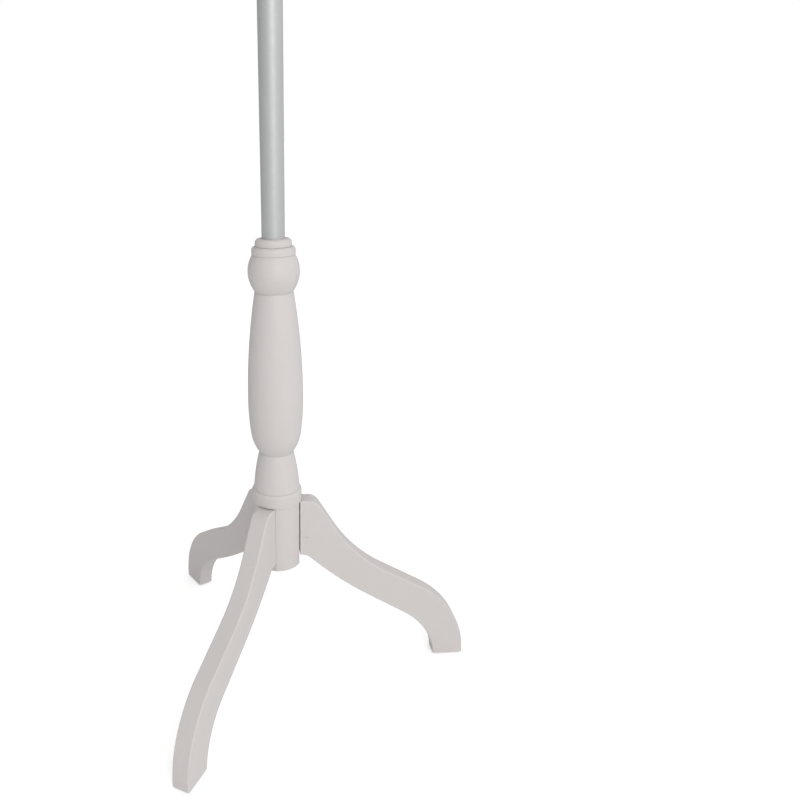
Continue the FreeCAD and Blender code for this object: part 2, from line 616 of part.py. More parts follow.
def make_harp():
    """A bent wire loop with a flat eye at the top, and the sleeves that lock it to the saddle."""
    foot_z = SADDLE_Z + SADDLE_TONGUE + HARP_WIRE_GAP
    sleeve_z = SADDLE_Z + SADDLE_TONGUE - SLEEVE_OVERLAP
    flare_z = sleeve_z + SLEEVE_LENGTH + HARP_SHANK
    eye_z = HARP_TOP_Z - HARP_EYE_THICK / 2
    for side, word in ((-1, "left"), (1, "right")):
        x = side * SADDLE_HALF_SPAN
        inner_r = HARP_WIRE_D / 2 + HOLDER_SPACE
        sleeve = tube(inner_r + SLEEVE_WALL, inner_r, sleeve_z, SLEEVE_LENGTH)
        sleeve.translate(FreeCAD.Vector(x, 0, 0))
        save("harp_sleeve_" + word, sleeve)
    half = [(SADDLE_HALF_SPAN, foot_z), (SADDLE_HALF_SPAN, flare_z),
            (HARP_HALF_WIDTH, flare_z + HARP_FLARE), (HARP_HALF_WIDTH, eye_z)]
    points = [vec(x, z) for x, z in half] + [vec(-x, z) for x, z in reversed(half)]
    bends = [HARP_FOOT_BEND, HARP_FOOT_BEND, HARP_SHOULDER_BEND]
    wire = swept(points, bends + bends[::-1], HARP_WIRE_D / 2)
    eye = tube(HARP_EYE_D / 2, 0, HARP_TOP_Z - HARP_EYE_THICK, HARP_EYE_THICK)
    hole_z = HARP_TOP_Z - HARP_EYE_THICK - OVERCUT
    hole = tube(STUD_BOLT_D / 2 + STUD_FIT, 0, hole_z, HARP_EYE_THICK + 2 * OVERCUT)
    save("harp", wire.fuse(eye).cut(hole))


def key_hole(radius):
    """The radial hole that the switch key's spindle turns in."""
    return Part.makeCylinder(radius, HOLDER_R + KEY_REACH, FreeCAD.Vector(0, -KEY_INNER_R, KEY_Z),
                             FreeCAD.Vector(0, -1, 0))


def make_holder():
    """The lampholder: cap, shell, insulating sleeve, switch body, screw shell, contact and key."""
    hole = key_hole(KEY_SPINDLE_D / 2 + KEY_FIT)
    nipple_r = TIE_D / 2 + THREAD_FIT
    cap_r = HOLDER_R + HOLDER_SPACE + HOLDER_SKIN
    cap = Outline(nipple_r, HOLDER_Z)
    cap.line(cap_r / 2, HOLDER_Z)
    cap.arrive(cap_r, HOLDER_Z + HOLDER_SHELL_START, UP)
    cap.line(cap_r, HOLDER_Z + HOLDER_CAP_HEIGHT)
    cap.line(cap_r - HOLDER_SKIN, HOLDER_Z + HOLDER_CAP_HEIGHT)
    cap.line(cap_r - HOLDER_SKIN, HOLDER_Z + HOLDER_SHELL_START)
    cap.leave(cap_r / 2, HOLDER_Z + HOLDER_SKIN, DOWN)
    cap.line(nipple_r, HOLDER_Z + HOLDER_SKIN)
    save("holder_cap", cap.solid())
    shell_z = HOLDER_Z + HOLDER_SHELL_START
    save("holder_shell", tube(HOLDER_R, HOLDER_R - HOLDER_SKIN, shell_z, HOLDER_SHELL_HEIGHT).cut(hole))
    save("holder_liner", tube(LINER_R, LINER_R - LINER_SKIN, shell_z, HOLDER_SHELL_HEIGHT).cut(hole))
    body_r = LINER_R - LINER_SKIN - HOLDER_SPACE
    save("switch_body", tube(body_r, 0, HOLDER_Z + SWITCH_BODY_START, SWITCH_BODY_HEIGHT).cut(hole))
    save("screw_shell", tube(SCREW_R, SCREW_R - SCREW_SHELL_SKIN, CONTACT_Z, SCREW_SHELL_HEIGHT))
    save("centre_contact", tube(CONTACT_R, 0, CONTACT_Z, CONTACT_HEIGHT))
    key_end = HOLDER_R + KEY_REACH
    key = Part.makeCylinder(KEY_SPINDLE_D / 2, key_end - KEY_INNER_R - KEY_END_PLAY,
                            FreeCAD.Vector(0, -KEY_INNER_R - KEY_END_PLAY, KEY_Z), FreeCAD.Vector(0, -1, 0))
    knob = Part.makeBox(2 * KEY_KNOB_R, KEY_KNOB_LENGTH, KEY_KNOB_THICK,
                        FreeCAD.Vector(-KEY_KNOB_R, -key_end, KEY_Z - KEY_KNOB_THICK / 2))
    knob = knob.makeFillet(KEY_KNOB_ROUND, knob.Edges)
    save("switch_key", key.fuse(knob))
    nipple_z = POLE_TOP_Z - PLUG_LENGTH
    save("nipple", tube(TIE_D / 2, TIE_BORE_D / 2, nipple_z, HOLDER_Z + NIPPLE_ABOVE_SADDLE - nipple_z))
    save("nipple_nut", hex_nut(NUT_FLATS, nipple_r, HEAD_NUT_Z, HEAD_NUT_HEIGHT))


def globe(skin):
    """The bulb's globe, or the space inside it where skin is its wall."""
    neck_z = BULB_BASE_Z + BULB_BASE_HEIGHT
    centre_z = neck_z + BULB_LENGTH - BULB_R
    radius = BULB_R - skin
    join = math.radians(BULB_JOIN_DEG)
    outline = Outline(0, neck_z + skin)
    outline.line(BULB_NECK_R - skin, neck_z + skin)
    outline.leave(radius * math.cos(join), centre_z - radius * math.sin(join), UP)
    outline.arrive(radius, centre_z, UP)
    outline.leave(0, centre_z + radius, UP)
    return outline.solid()


def make_bulb():
    neck_z = BULB_BASE_Z + BULB_BASE_HEIGHT
    save("bulb_base", turned([
        (0, BULB_BASE_Z), (CONTACT_R, BULB_BASE_Z),
        (BULB_BASE_R - BULB_TIP_TAPER, BULB_BASE_Z + BULB_TIP_HEIGHT),
        (BULB_BASE_R, BULB_BASE_Z + BULB_THREAD_START), (BULB_BASE_R, neck_z), (0, neck_z)]))
    save("bulb_globe", globe(0).cut(globe(BULB_SKIN)))


# ---- Shade --------------------------------------------------------------------------------------
def shade_r(z):
    """The outer radius of the shade's cone at a height."""
    return SHADE_BOTTOM_R - (z - SHADE_BOTTOM_Z) * SHADE_SLOPE


def cone_band(z_low, z_high, inner, outer):
    """A band of the shade's cone, between two offsets from its outer face, both measured level."""
    return turned([(shade_r(z_low) + inner, z_low), (shade_r(z_low) + outer, z_low),
                   (shade_r(z_high) + outer, z_high), (shade_r(z_high) + inner, z_high)])


def ring_r(z):
    """The centreline radius of a shade ring that lies against the cover's inner face."""
    wire_r = SHADE_WIRE_D / 2 + SHADE_RING_SPACE
    return shade_r(z) - (SHADE_SKIN + wire_r) * SHADE_LEAN


def make_spider():
    """The shade's three-armed carrier: a flat hub under the finial and arms to the top ring."""
    ring_z = SHADE_TOP_Z - SHADE_WIRE_D / 2
    spider = tube(SPIDER_HUB_D / 2, STUD_BOLT_D / 2 + STUD_FIT, SPIDER_Z, SPIDER_HUB_THICK)
    start = vec(SPIDER_HUB_D / 2 - SHADE_WIRE_D, SPIDER_Z + SPIDER_HUB_THICK / 2)
    end = vec(ring_r(ring_z) - SHADE_WIRE_D / 2, ring_z)
    arm = Part.makeCylinder(SPIDER_ARM_D / 2, (end - start).Length, start, end - start)
    for degrees in SPIDER_ARM_DEGREES:
        spider = spider.fuse(about_axis(arm, degrees))
    return spider


def make_shade():
    for name, z in (("shade_top_ring", SHADE_TOP_Z - SHADE_WIRE_D / 2),
                    ("shade_bottom_ring", SHADE_BOTTOM_Z + SHADE_WIRE_D / 2)):
        save(name, Part.makeTorus(ring_r(z), SHADE_WIRE_D / 2, FreeCAD.Vector(0, 0, z)))
    save("shade_cover", cone_band(SHADE_BOTTOM_Z, SHADE_TOP_Z, -SHADE_SKIN * SHADE_LEAN, 0))
    trim = TRIM_THICK * SHADE_LEAN
    save("shade_trim_bottom", cone_band(SHADE_BOTTOM_Z, SHADE_BOTTOM_Z + TRIM_HEIGHT, 0, trim))
    save("shade_trim_top", cone_band(SHADE_TOP_Z - TRIM_HEIGHT, SHADE_TOP_Z, 0, trim))
    save("shade_spider", make_spider())


def make_harp_stud():
    """The swivel stud riveted in the harp's eye, with a flange for the spider and a bolt for the finial."""
    bolt_r = STUD_BOLT_D / 2
    head_z = HARP_TOP_Z - HARP_EYE_THICK - SPIN_GAP
    stud = tube(bolt_r + STUD_HEAD_LIP, 0, head_z - STUD_FLANGE_THICK, STUD_FLANGE_THICK)
    stud = stud.fuse(tube(bolt_r, 0, head_z, SPIDER_Z + STUD_BOLT_LENGTH - head_z))
    return stud.fuse(tube(STUD_FLANGE_D / 2, 0, HARP_TOP_Z + SPIN_GAP, STUD_FLANGE_THICK))


def make_finial():
    foot_z = SPIDER_Z + SPIDER_HUB_THICK
    top_z = foot_z + FINIAL_HEIGHT
    outline = Outline(0, top_z)
    outline.leave(FINIAL_R, top_z - FINIAL_R, OUTWARD)
    outline.leave(FINIAL_NECK_R, top_z - 2 * FINIAL_R, DOWN)
    outline.leave(FINIAL_FOOT_R, foot_z + FINIAL_FOOT_HEIGHT, DOWN)
    outline.line(FINIAL_FOOT_R, foot_z)
    outline.line(0, foot_z)
    bore_depth = STUD_BOLT_LENGTH - SPIDER_HUB_THICK + OVERCUT
    bore = tube(STUD_BOLT_D / 2 + THREAD_FIT, 0, foot_z - OVERCUT, bore_depth + OVERCUT)
    return outline.solid().cut(bore)


# ---- Write every piece --------------------------------------------------------------------------
save("column", make_column())
leg, pad = make_leg()
plate = make_plate()
studs = []
screws = []
for leg_name, leg_degrees in three_legs():
    save("leg_" + leg_name, about_axis(pushed_up(leg, leg_name), leg_degrees))
    save("foot_pad_" + leg_name, about_axis(pushed_up(pad, leg_name), leg_degrees))
    save("keyhole_plate_" + leg_name, about_axis(plate, leg_degrees))
    studs += [about_axis(make_stud(z), leg_degrees) for z in STUD_Z]
    screws += [about_axis(plate_screw(z, 0), leg_degrees) for z in PLATE_SCREW_Z]
save("leg_studs", Part.makeCompound(studs))
save("plate_screws", Part.makeCompound(screws))
make_pole()
make_tie()
save("harp_saddle", make_saddle())
make_harp()
make_holder()
make_bulb()
make_shade()
save("harp_stud", make_harp_stud())
save("finial", make_finial())
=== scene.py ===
"""Builds the finished look of a tripod floor lamp: painted wood, satin tube, linen shade."""

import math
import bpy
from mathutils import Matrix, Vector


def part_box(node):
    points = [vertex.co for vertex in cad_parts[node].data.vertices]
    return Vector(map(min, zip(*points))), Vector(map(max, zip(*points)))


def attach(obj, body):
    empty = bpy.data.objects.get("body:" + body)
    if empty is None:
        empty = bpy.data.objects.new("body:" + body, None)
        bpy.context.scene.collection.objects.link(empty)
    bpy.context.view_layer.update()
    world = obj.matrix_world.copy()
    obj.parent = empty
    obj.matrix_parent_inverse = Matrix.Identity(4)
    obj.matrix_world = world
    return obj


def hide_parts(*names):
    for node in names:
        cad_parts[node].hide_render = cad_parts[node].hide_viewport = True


bl_info = {
    "name": "Tripod floor lamp",
    "version": (1, 0, 0),
    "blender": (4, 5, 0),
    "location": "View3D > Sidebar > Lamp",
    "description": "Finishes a turned tripod floor lamp piece by piece",
    "category": "Object",
}

import bmesh
import bpy
from mathutils import Matrix, Vector

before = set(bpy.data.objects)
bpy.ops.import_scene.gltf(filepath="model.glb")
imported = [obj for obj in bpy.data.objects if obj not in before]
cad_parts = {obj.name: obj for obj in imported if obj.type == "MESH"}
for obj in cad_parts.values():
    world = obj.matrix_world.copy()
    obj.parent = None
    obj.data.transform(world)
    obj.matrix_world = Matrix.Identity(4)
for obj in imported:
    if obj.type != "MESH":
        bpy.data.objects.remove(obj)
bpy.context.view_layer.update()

LEG_TURNS = {"right": 0.0, "back": 120.0, "front": 240.0}
COVER_STEPS = 720                # round the shade's cloth
HEM_STEPS = 360                  # round each of its hems
RIM_DEPTH = 0.0005               # points this near an end of the cover lie on its rim


# ---- Sizes and colours that a user would change -------------------------------------------------
class LampPaint(bpy.types.PropertyGroup):
    """The painted wood of the column and legs."""

    colour: bpy.props.FloatVectorProperty(
        name="Paint", description="Colour of the satin paint", subtype="COLOR", size=3,
        min=0.0, max=1.0, default=(0.640, 0.606, 0.595))
    peel: bpy.props.FloatProperty(
        name="Orange peel", description="Depth of the sprayed paint's fine ripple", unit="LENGTH",
        default=0.00006)
    grain: bpy.props.FloatProperty(
        name="Grain depth", description="Depth of the wood grain that shows through the paint",
        unit="LENGTH",
        default=0.00008)
    # The edge band is a painted highlight: the paint's colour lightened along each arris, this wide.
    edge_width: bpy.props.FloatProperty(
        name="Edge band", description="Width of the paint's thin, polished band along each edge",
        unit="LENGTH",
        default=0.0035)
    build_up: bpy.props.FloatProperty(
        name="Build-up", description="Radius to which the paint fills creases and rounds arrises",
        unit="LENGTH",
        default=0.0009)


class LampMetal(bpy.types.PropertyGroup):
    """The tube and the small metal pieces."""

    tube_colour: bpy.props.FloatVectorProperty(
        name="Tube", description="Colour of the tube's silver lacquer", subtype="COLOR", size=3,
        min=0.0, max=1.0, default=(0.550, 0.562, 0.558))
    tube_roughness: bpy.props.FloatProperty(
        name="Tube roughness", description="Spread of the tube's reflections", min=0.0, max=1.0,
        default=0.55)
    thread_pitch: bpy.props.FloatProperty(
        name="Thread pitch", description="Pitch of the hollow rod's thread", unit="LENGTH", default=0.001)


class LampShade(bpy.types.PropertyGroup):
    """The fabric shade."""

    linen_colour: bpy.props.FloatVectorProperty(
        name="Linen", description="Colour of the shade's cloth", subtype="COLOR", size=3,
        min=0.0, max=1.0, default=(0.76, 0.71, 0.62))
    lining_colour: bpy.props.FloatVectorProperty(
        name="Lining", description="Colour of the stiff lining inside the shade", subtype="COLOR", size=3,
        min=0.0, max=1.0, default=(0.86, 0.85, 0.82))
    thread_gap: bpy.props.FloatProperty(
        name="Thread spacing", description="Distance between the cloth's threads", unit="LENGTH",
        default=0.0008)
    lap_width: bpy.props.FloatProperty(
        name="Lap width", description="Width of the glued lap down the back", unit="LENGTH", default=0.012)
    lap_step: bpy.props.FloatProperty(
        name="Lap step", description="How far the lap stands out", unit="LENGTH", default=0.0004)


class LampStage(bpy.types.PropertyGroup):
    """The camera and the studio."""

    distance: bpy.props.FloatProperty(
        name="Camera distance", description="Level distance from the column's axis to the camera",
        unit="LENGTH", default=0.8001)
    height: bpy.props.FloatProperty(
        name="Camera height", description="Height of the camera above the floor", unit="LENGTH",
        default=0.6539)
    turn: bpy.props.FloatProperty(
        name="Camera turn", description="How far round the lamp the camera stands, from the front",
        subtype="ANGLE", default=math.radians(3.59))
    swing: bpy.props.FloatProperty(
        name="Camera swing", description="How far the camera looks to the left of the axis",
        subtype="ANGLE", default=math.radians(1.60))
    tilt: bpy.props.FloatProperty(
        name="Camera tilt", description="How far the camera looks down", subtype="ANGLE",
        default=math.radians(21.0))
    roll: bpy.props.FloatProperty(
        name="Camera roll", description="Lean of the camera about its own line of sight", subtype="ANGLE",
        default=math.radians(-1.41))
    lens: bpy.props.FloatProperty(
        name="Lens", description="Focal length on a 36 mm wide sensor, in millimetres", default=33.31)
    shift_right: bpy.props.FloatProperty(
        name="Frame shift right",
        description="How far the frame lies to the right of the lens axis, in frame widths",
        default=0.1794)
    shift_up: bpy.props.FloatProperty(
        name="Frame shift up", description="How far the frame lies above the lens axis, in frame widths",
        default=0.0153)
    key_strength: bpy.props.FloatProperty(
        name="Key light", description="Power of the large soft light", unit="POWER", default=10.0)


# ---- Shader helpers -----------------------------------------------------------------------------
def add_node(tree, kind, settings=None, inputs=None):
    """A node with its settings made and its inputs set to values or joined to sockets."""
    node = tree.nodes.new(kind)
    for key, value in (settings or {}).items():
        setattr(node, key, value)
    for key, value in (inputs or {}).items():
        if isinstance(value, bpy.types.NodeSocket):
            tree.links.new(value, node.inputs[key])
        else:
            node.inputs[key].default_value = value
    return node


def math_node(tree, operation, first, second=0.0):
    node = add_node(tree, "ShaderNodeMath", {"operation": operation}, {0: first, 1: second})
    return node.outputs[0]


def new_group(name, takes, gives):
    """An empty shader group with its sockets, and its input and output nodes."""
    tree = bpy.data.node_groups.new(name, "ShaderNodeTree")
    for label, kind, value in takes:
        socket = tree.interface.new_socket(label, in_out="INPUT", socket_type=kind)
        if value is not None:
            socket.default_value = value
    for label, kind in gives:
        tree.interface.new_socket(label, in_out="OUTPUT", socket_type=kind)
    return tree, tree.nodes.new("NodeGroupInput").outputs, tree.nodes.new("NodeGroupOutput").inputs


def shared_group(name, build):
    """The group of that name, built the first time that it is asked for."""
    return bpy.data.node_groups.get(name) or build(name)


def use_group(tree, name, build, inputs):
    node = tree.nodes.new("ShaderNodeGroup")
    node.node_tree = shared_group(name, build)
    for key, value in inputs.items():
        if isinstance(value, bpy.types.NodeSocket):
            tree.links.new(value, node.inputs[key])
        else:
            node.inputs[key].default_value = value
    return node


def build_colour_drift(name):
    """Slow and quick drifts of tone, as in any coat of paint or length of cloth."""
    tree, takes, gives = new_group(name, [
        ("Vector", "NodeSocketVector", None), ("Colour", "NodeSocketColor", None),
        ("Scale", "NodeSocketFloat", 8.0), ("Amount", "NodeSocketFloat", 0.05)],
        [("Colour", "NodeSocketColor")])
    slow = add_node(tree, "ShaderNodeTexNoise", None,
                    {"Vector": takes["Vector"], "Scale": takes["Scale"], "Detail": 4.0})
    quick_scale = math_node(tree, "MULTIPLY", takes["Scale"], 9.0)
    quick = add_node(tree, "ShaderNodeTexNoise", None,
                     {"Vector": takes["Vector"], "Scale": quick_scale, "Detail": 3.0})
    both = math_node(tree, "ADD", slow.outputs["Fac"],
                     math_node(tree, "MULTIPLY", quick.outputs["Fac"], 0.5))
    signed = math_node(tree, "SUBTRACT", both, 0.75)
    change = math_node(tree, "MULTIPLY", signed, math_node(tree, "MULTIPLY", takes["Amount"], 2.0))
    factor = math_node(tree, "ADD", change, 1.0)
    scaled = add_node(tree, "ShaderNodeVectorMath", {"operation": "SCALE"},
                      {0: takes["Colour"], "Scale": factor})
    tree.links.new(scaled.outputs[0], gives["Colour"])
    return tree


def build_long_streaks(name):
    """Fine lines drawn out along one direction: wood grain, drawing marks or slubs."""
    tree, takes, gives = new_group(name, [
        ("Vector", "NodeSocketVector", None), ("Stretch", "NodeSocketVector", (900.0, 900.0, 8.0))],
        [("Height", "NodeSocketFloat")])
    drawn = add_node(tree, "ShaderNodeVectorMath", {"operation": "MULTIPLY"},
                     {0: takes["Vector"], 1: takes["Stretch"]})
    lines = add_node(tree, "ShaderNodeTexNoise", None,
                     {"Vector": drawn.outputs[0], "Scale": 1.0, "Detail": 5.0, "Roughness": 0.6})
    tree.links.new(lines.outputs["Fac"], gives["Height"])
    return tree


def build_edge_band(name):
    """A mask that is 1 along outward edges; on the paint it lays a painted highlight there."""
    tree, takes, gives = new_group(name, [("Width", "NodeSocketFloat", 0.003)],
                                   [("Mask", "NodeSocketFloat")])
    depth = add_node(tree, "ShaderNodeAmbientOcclusion", {"samples": 8, "inside": True, "only_local": True},
                     {"Distance": takes["Width"]})
    band = add_node(tree, "ShaderNodeMapRange", None, {
        "Value": depth.outputs["AO"], "From Min": 0.80, "From Max": 0.45, "To Min": 0.0, "To Max": 1.0})
    tree.links.new(band.outputs[0], gives["Mask"])
    return tree


def build_soft_edges(name):
    """The surface's direction with its creases and arrises eased over, as thick paint leaves them."""
    tree, takes, gives = new_group(name, [("Radius", "NodeSocketFloat", 0.001)],
                                   [("Normal", "NodeSocketVector")])
    eased = add_node(tree, "ShaderNodeBevel", {"samples": 6}, {"Radius": takes["Radius"]})
    tree.links.new(eased.outputs[0], gives["Normal"])
    return tree


def build_specks(name):
    """Scattered small pits or dust grains."""
    tree, takes, gives = new_group(name, [
        ("Vector", "NodeSocketVector", None), ("Scale", "NodeSocketFloat", 300.0),
        ("Size", "NodeSocketFloat", 0.12)], [("Mask", "NodeSocketFloat")])
    cells = add_node(tree, "ShaderNodeTexVoronoi", None,
                     {"Vector": takes["Vector"], "Scale": takes["Scale"]})
    picked = add_node(tree, "ShaderNodeTexNoise", None,
                      {"Vector": takes["Vector"],
                       "Scale": math_node(tree, "MULTIPLY", takes["Scale"], 0.12)})
    near = add_node(tree, "ShaderNodeMapRange", None, {
        "Value": cells.outputs["Distance"], "From Min": takes["Size"],
        "From Max": math_node(tree, "MULTIPLY", takes["Size"], 0.4), "To Min": 0.0, "To Max": 1.0})
    some = add_node(tree, "ShaderNodeMapRange", None, {
        "Value": picked.outputs["Fac"], "From Min": 0.56, "From Max": 0.66, "To Min": 0.0, "To Max": 1.0})
    tree.links.new(math_node(tree, "MULTIPLY", near.outputs[0], some.outputs[0]), gives["Mask"])
    return tree


def build_weave(name):
    """A plain weave: threads that pass over and under each other, and the gaps between them."""
    tree, takes, gives = new_group(name, [
        ("Vector", "NodeSocketVector", None), ("Threads", "NodeSocketFloat", 1250.0)],
        [("Height", "NodeSocketFloat"), ("Gaps", "NodeSocketFloat")])
    scaled = add_node(tree, "ShaderNodeVectorMath", {"operation": "SCALE"},
                      {0: takes["Vector"], "Scale": math_node(tree, "MULTIPLY", takes["Threads"], math.pi)})
    parts = add_node(tree, "ShaderNodeSeparateXYZ", None, {0: scaled.outputs[0]})
    warp = math_node(tree, "ABSOLUTE", math_node(tree, "SINE", parts.outputs[0]))
    weft = math_node(tree, "ABSOLUTE", math_node(tree, "SINE", parts.outputs[1]))
    over = math_node(tree, "MULTIPLY", math_node(tree, "COSINE", parts.outputs[0]),
                     math_node(tree, "COSINE", parts.outputs[1]))
    lift = math_node(tree, "MULTIPLY", math_node(tree, "ADD", warp, weft), 0.5)
    tree.links.new(math_node(tree, "ADD", lift, math_node(tree, "MULTIPLY", over, 0.25)), gives["Height"])
    filled = math_node(tree, "MAXIMUM", warp, weft)
    gap = add_node(tree, "ShaderNodeMapRange", None,
                   {"Value": filled, "From Min": 0.55, "From Max": 0.3, "To Min": 0.0, "To Max": 1.0})
    tree.links.new(gap.outputs[0], gives["Gaps"])
    return tree


def build_screw_thread(name):
    """The ridges of a screw thread about the upright axis through the origin."""
    tree, takes, gives = new_group(name, [
        ("Vector", "NodeSocketVector", None), ("Pitch", "NodeSocketFloat", 0.001)],
        [("Height", "NodeSocketFloat")])
    parts = add_node(tree, "ShaderNodeSeparateXYZ", None, {0: takes["Vector"]})
    angle = math_node(tree, "ARCTAN2", parts.outputs[1], parts.outputs[0])
    turns = math_node(tree, "DIVIDE", parts.outputs[2], takes["Pitch"])
    phase = math_node(tree, "ADD", math_node(tree, "MULTIPLY", turns, 2 * math.pi), angle)
    ridge = math_node(tree, "PINGPONG", math_node(tree, "DIVIDE", phase, math.pi), 1.0)
    tree.links.new(ridge, gives["Height"])
    return tree


def build_crevice_shade(name):
    """A mask that is 1 down in grooves and corners, where painted shade darkens the colour."""
    tree, takes, gives = new_group(name, [("Reach", "NodeSocketFloat", 0.006)],
                                   [("Mask", "NodeSocketFloat")])
    open_sky = add_node(tree, "ShaderNodeAmbientOcclusion", {"samples": 8}, {"Distance": takes["Reach"]})
    mask = add_node(tree, "ShaderNodeMapRange", None, {
        "Value": open_sky.outputs["AO"], "From Min": 0.78, "From Max": 0.32, "To Min": 0.0, "To Max": 1.0})
    tree.links.new(mask.outputs[0], gives["Mask"])
    return tree


class Finish:
    """One material in the making: its tree, its shader and where its pattern is measured from."""

    def __init__(self, name):
        self.material = bpy.data.materials.new(name)
        self.material.use_nodes = True
        self.tree = self.material.node_tree
        self.shader = self.tree.nodes["Principled BSDF"]
        self.place = self.tree.nodes.new("ShaderNodeTexCoord").outputs["Object"]

    def set(self, **values):
        """Fixed values on the shader's own sockets, named with _ for each space."""
        for key, value in values.items():
            socket = self.shader.inputs[key.replace("_", " ")]
            socket.default_value = (*value, 1.0) if socket.type == "RGBA" else value

    def turned_place(self, turn, slope=0.0, offset=0.0):
        """The place turned so that a board's length lies along X."""
        level = add_node(self.tree, "ShaderNodeMapping", {"vector_type": "POINT"},
                         {"Vector": self.place, "Rotation": (0.0, 0.0, -turn),
                          "Location": (offset, 0.0, 0.0)})
        along = add_node(self.tree, "ShaderNodeMapping", {"vector_type": "POINT"},
                         {"Vector": level.outputs[0], "Rotation": (0.0, -slope, 0.0)})
        return along.outputs[0]

    def colour(self, colour, scale, amount, place=None):
        """Tone that drifts about a colour."""
        drift = use_group(self.tree, "Colour drift", build_colour_drift, {
            "Vector": place or self.place, "Colour": (*colour, 1.0), "Scale": scale, "Amount": amount})
        return drift.outputs[0]

    def streaks(self, stretch, place=None):
        group = use_group(self.tree, "Long streaks", build_long_streaks,
                          {"Vector": place or self.place, "Stretch": stretch})
        return group.outputs["Height"]

    def specks(self, scale, size, place=None):
        group = use_group(self.tree, "Specks", build_specks,
                          {"Vector": place or self.place, "Scale": scale, "Size": size})
        return group.outputs["Mask"]

    def edges(self, width):
        return use_group(self.tree, "Edge band", build_edge_band, {"Width": width}).outputs["Mask"]

    def noise(self, scale, detail=3.0, place=None):
        node = add_node(self.tree, "ShaderNodeTexNoise", None,
                        {"Vector": place or self.place, "Scale": scale, "Detail": detail})
        return node.outputs["Fac"]

    def spread(self, value, low, high):
        """A value from 0 to 1 laid out between low and high."""
        node = add_node(self.tree, "ShaderNodeMapRange", None,
                        {"Value": value, "To Min": low, "To Max": high})
        return node.outputs[0]

    def blend(self, mask, first, second):
        """first where the mask is 0 and second where it is 1."""
        node = add_node(self.tree, "ShaderNodeMix", {"data_type": "RGBA"},
                        {"Factor": mask, 6: self.as_colour(first), 7: self.as_colour(second)})
        return node.outputs[2]

    def as_colour(self, value):
        return value if isinstance(value, bpy.types.NodeSocket) else (*value, 1.0)

    def feed(self, socket, value):
        self.tree.links.new(value, self.shader.inputs[socket])

    def bumps(self, *layers, over=None):
        """Relief from (height, depth in metres) layers, each laid over the one before."""
        normal = over
        for height, depth in layers:
            node = add_node(self.tree, "ShaderNodeBump", None, {"Height": height, "Distance": depth})
            if normal is not None:
                self.tree.links.new(normal, node.inputs["Normal"])
            normal = node.outputs["Normal"]
        self.tree.links.new(normal, self.shader.inputs["Normal"])


# ---- Finishes -----------------------------------------------------------------------------------
def finish_paint(finish, place, grain_stretch, sizes, nick=None):
    """Satin paint over wood: faint grain, orange peel, a painted highlight along the arrises, painted shade
    in the corners and dusty pits.
    """
    base = finish.colour(sizes.colour, 9.0, 0.022, place)
    # Painted highlight: along the arrises the paint's colour is lifted to a lighter tone.
    edges = finish.edges(sizes.edge_width)
    # Painted shade: down in grooves and corners the paint's colour is darkened; the same dark colour also
    # marks the dusty pits and the nick.
    crevice_shade_mask = use_group(finish.tree, "Crevice shade", build_crevice_shade, {"Reach": 0.006}).outputs["Mask"]
    thin = tuple(min(1.0, 1.16 * part) for part in sizes.colour)
    dust_and_shade = tuple(part * tint for part, tint in zip(sizes.colour, (0.80, 0.77, 0.74)))
    edge_highlighted = finish.blend(edges, base, thin)
    crevice_shaded = finish.blend(finish.spread(crevice_shade_mask, 0.0, 0.80), edge_highlighted, dust_and_shade)
    pits = finish.specks(160.0, 0.10, place)
    marked = finish.blend(finish.spread(pits, 0.0, 0.35), crevice_shaded, dust_and_shade)
    if nick:
        marked = finish.blend(nick_mask(finish, *nick), marked, tuple(0.7 * part for part in dust_and_shade))
    finish.feed("Base Color", marked)
    grain = finish.streaks(grain_stretch, place)
    peel = finish.noise(420.0, 2.0, place)
    patchy = finish.noise(34.0, 4.0, place)
    finish.feed("Roughness", finish.spread(patchy, 0.40, 0.56))
    eased = use_group(finish.tree, "Soft edges", build_soft_edges,
                      {"Radius": sizes.build_up}).outputs["Normal"]
    finish.bumps((grain, sizes.grain), (peel, sizes.peel), (finish.noise(60.0, 2.0, place), 0.00012),
                 over=eased)
    return finish.material


def painted_turning():
    """Paint on the turned column, with the lathe's rings under it."""
    sizes = bpy.context.scene.lamp_paint
    finish = Finish("Painted turning")
    return finish_paint(finish, finish.place, (14.0, 14.0, 1100.0), sizes)


def nick_mask(finish, middle, half_length, half_height):
    """A short, ragged scratch at a place on the right leg's front face."""
    parts = add_node(finish.tree, "ShaderNodeSeparateXYZ", None, {0: finish.place})
    ragged = finish.spread(finish.noise(900.0, 3.0), -0.0006, 0.0006)
    across = math_node(finish.tree, "ABSOLUTE",
                       math_node(finish.tree, "SUBTRACT", parts.outputs[0], middle.x))
    level = math_node(finish.tree, "ADD", parts.outputs[2], ragged)
    up = math_node(finish.tree, "ABSOLUTE", math_node(finish.tree, "SUBTRACT", level, middle.z))
    on_length = math_node(finish.tree, "LESS_THAN", across, half_length)
    on_height = math_node(finish.tree, "LESS_THAN", up, half_height)
    on_front = math_node(finish.tree, "LESS_THAN", parts.outputs[1], middle.y)
    mask = math_node(finish.tree, "MULTIPLY", math_node(finish.tree, "MULTIPLY", on_length, on_height),
                     on_front)
    return finish.spread(mask, 0.0, 0.8)


def painted_board(name, turn, nick=None):
    """Paint on one leg, with the board's grain along the leg, and at most one small nick in the paint."""
    sizes = bpy.context.scene.lamp_paint
    finish = Finish(f"Painted board {name}")
    along = finish.turned_place(turn, math.radians(35.0), 0.13 * turn)
    return finish_paint(finish, along, (10.0, 700.0, 700.0), sizes, nick)


